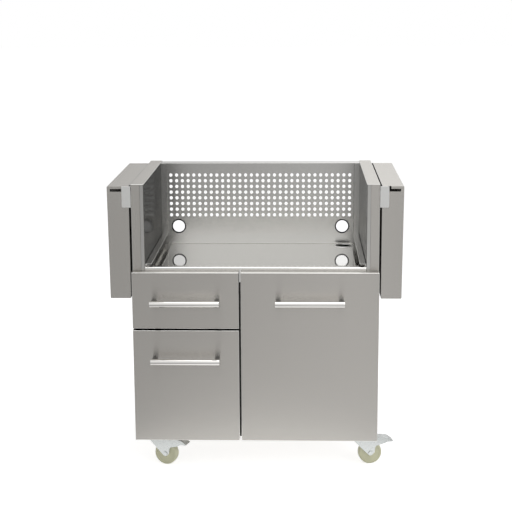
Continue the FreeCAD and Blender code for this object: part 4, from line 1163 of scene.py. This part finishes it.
def seen_straight(tree):
    """1 for what the eye, mirrors and glass see, and 0 for the light that falls on things."""
    path = add(tree, "ShaderNodeLightPath").outputs
    mirrored = reckon(tree, "MAXIMUM", path["Is Camera Ray"], path["Is Glossy Ray"])
    return reckon(tree, "MAXIMUM", mirrored, path["Is Transmission Ray"])


def floor_material():
    """Pale painted floor: white to the eye and to mirrors, and it keeps the cart's shadow."""
    material = new_material("studio_floor")
    tree = material.node_tree
    return coat(material, {
        "Base Color": linear("#EDEDED"), "Roughness": 0.9, "Specular IOR Level": 0.0,
        "Emission Color": (1, 1, 1, 1),
        "Emission Strength": reckon(tree, "MULTIPLY", seen_straight(tree), FLOOR_GLOW)})


def studio_world(ambient):
    """Soft light all round; the eye, mirrors and glass see a white backdrop."""
    world = bpy.data.worlds.new("studio")
    world.use_nodes = True
    tree = world.node_tree
    tree.nodes.clear()
    light = add(tree, "ShaderNodeBackground", {
        "Color": (1, 1, 1, 1), "Strength": spread(tree, seen_straight(tree), ambient, 1.0)})
    add(tree, "ShaderNodeOutputWorld", {"Surface": light.outputs[0]})
    return world


def soft_lamp(name, size, power, place, aim):
    """Square soft box that points at a spot."""
    lamp = bpy.data.lights.new(name, "AREA")
    lamp.shape = "SQUARE"
    lamp.size = size
    lamp.energy = power
    holder = put(name, lamp)
    holder.location = place
    holder.rotation_euler = (Vector(aim) - Vector(place)).to_track_quat("-Z", "Y").to_euler()


def mirror_card(name, made, strength):
    """Glowing card that only mirrors see; its strength is worked out in its node tree."""
    mesh = plain_mesh(name, made)
    material = new_material(name)
    tree = material.node_tree
    glow = add(tree, "ShaderNodeEmission", {"Strength": strength(tree)})
    add(tree, "ShaderNodeOutputMaterial", {"Surface": glow.outputs[0]})
    mesh.materials.append(material)
    card = put(name, mesh)
    card.visible_camera = False
    card.visible_diffuse = False
    card.visible_shadow = False
    card.visible_transmission = False


def across(tree, start, end, low, high):
    """Strength that runs from low to high between two places along X."""
    own = add(tree, "ShaderNodeTexCoord").outputs["Object"]
    place = add(tree, "ShaderNodeSeparateXYZ", {0: own})
    return spread(tree, place.outputs["X"], low, high, start, end)


def studio_dark(near, far, height):
    """Glowing floor past the pale paper and a low wall behind it, seen only by mirrors; the glow is painted light,
    fading with distance and lighter towards the right.
    """
    def strength(tree):
        own = add(tree, "ShaderNodeTexCoord").outputs["Object"]
        distance = add(tree, "ShaderNodeVectorMath", {0: own}, operation="LENGTH")
        # Painted light: a pool that fades with distance, lighter towards the right than the left
        painted_falloff = spread(tree, distance.outputs["Value"], 0.74, 0.54, near, 6.5)
        brighter_to_right = across(tree, -0.7, 0.4, 0.72, 1.12)
        side = reckon(tree, "MINIMUM", brighter_to_right, across(tree, 0.45, 0.8, 1.12, 0.88))
        return reckon(tree, "MULTIPLY", painted_falloff, side)

    made = bmesh.new()
    above_floor = 0.004
    lathe(made, [(near, above_floor), (far, above_floor), (far, height)], LEVEL)
    mirror_card("studio_dark", made, strength)


def grey_card(distance, low, high, half):
    """Glowing card behind the cart that only mirrors see; its glow is painted light, dimmer to the left, so the
    left flat tops mirror it darker.
    """
    made = bmesh.new()
    made.faces.new([made.verts.new((x, distance, z)) for x, z in (
        (-half, low), (half, low), (half, high), (-half, high))])
    # Painted light: the card's glow grows from the left to the right
    mirror_card("grey_card", made, lambda tree: across(tree, -0.9, 0.35, 0.55, 1.0))


class GRILLCART_OT_stage(bpy.types.Operator):
    """Floor, soft light and the camera of the photograph"""
    bl_idname = "grillcart.stage"
    bl_label = "Stage and camera"

    def execute(self, context):
        settings = context.scene.cart_stage
        scene = context.scene
        scene.view_settings.view_transform = "Standard"
        scene.world = studio_world(settings.ambient)
        made = bmesh.new()
        bmesh.ops.create_grid(made, x_segments=1, y_segments=1, size=30.0)
        mesh = plain_mesh("studio_floor", made)
        mesh.materials.append(floor_material())
        put("studio_floor", mesh)
        soft_lamp("overhead_soft_box", 2.4, settings.overhead, place=(0.5, -0.2, 3.2), aim=(0, 0, 0.5))
        soft_lamp("side_soft_box", 1.6, settings.side, place=(2.6, -2.4, 2.2), aim=(0.1, 0, 0.5))
        studio_dark(near=0.62, far=9.0, height=1.3)
        grey_card(distance=3.0, low=0.95, high=2.6, half=2.0)
        lens = bpy.data.cameras.new("photo_camera")
        lens.sensor_width = 36.0
        lens.lens = settings.lens
        lens.clip_start = 0.1
        lens.clip_end = 100.0
        camera = put("photo_camera", lens)
        aim = Matrix.Rotation(CAMERA_TURN, 4, "Z") @ Matrix.Rotation(math.pi / 2 - CAMERA_DIP, 4, "X")
        aim = aim @ Matrix.Rotation(CAMERA_TILT, 4, "Z")
        camera.matrix_world = Matrix.Translation(CAMERA_PLACE) @ aim
        scene.camera = camera
        return {"FINISHED"}


class GRILLCART_PT_pieces(bpy.types.Panel):
    """The cart's pieces and their sizes"""
    bl_idname = "GRILLCART_PT_pieces"
    bl_label = "Grill cart"
    bl_space_type = "VIEW_3D"
    bl_region_type = "UI"
    bl_category = "Grill cart"

    def draw(self, context):
        layout = self.layout
        for group in SETTINGS:
            box = layout.box()
            for name in SETTINGS[group].__annotations__:
                box.prop(getattr(context.scene, group), name)
        for operator in OPERATORS:
            layout.operator(operator.bl_idname)


SETTINGS = {
    "cart_back": BackPanelSettings,
    "cart_floor": FloorSettings,
    "cart_rings": RingSettings,
    "cart_handles": HandleSettings,
    "cart_casters": CasterSettings,
    "cart_fasteners": FastenerSettings,
    "cart_finishes": FinishSettings,
    "cart_stage": StageSettings,
}
OPERATORS = (
    GRILLCART_OT_sheet_metal,
    GRILLCART_OT_back_panel,
    GRILLCART_OT_bay_floor,
    GRILLCART_OT_rings,
    GRILLCART_OT_drawer_boxes,
    GRILLCART_OT_handles,
    GRILLCART_OT_casters,
    GRILLCART_OT_fasteners,
    GRILLCART_OT_stage,
)


def register():
    """Add the settings, operators and panel."""
    for group, kind in SETTINGS.items():
        bpy.utils.register_class(kind)
        setattr(bpy.types.Scene, group, bpy.props.PointerProperty(type=kind))
    for kind in OPERATORS + (GRILLCART_PT_pieces,):
        bpy.utils.register_class(kind)


def unregister():
    """Remove the settings, operators and panel."""
    for kind in (GRILLCART_PT_pieces,) + OPERATORS[::-1]:
        bpy.utils.unregister_class(kind)
    for group, kind in SETTINGS.items():
        delattr(bpy.types.Scene, group)
        bpy.utils.unregister_class(kind)


def main():
    """Build every piece in order."""
    register()
    for operator in OPERATORS:
        family, name = operator.bl_idname.split(".")
        getattr(getattr(bpy.ops, family), name)()


if __name__ == "__main__":
    main()
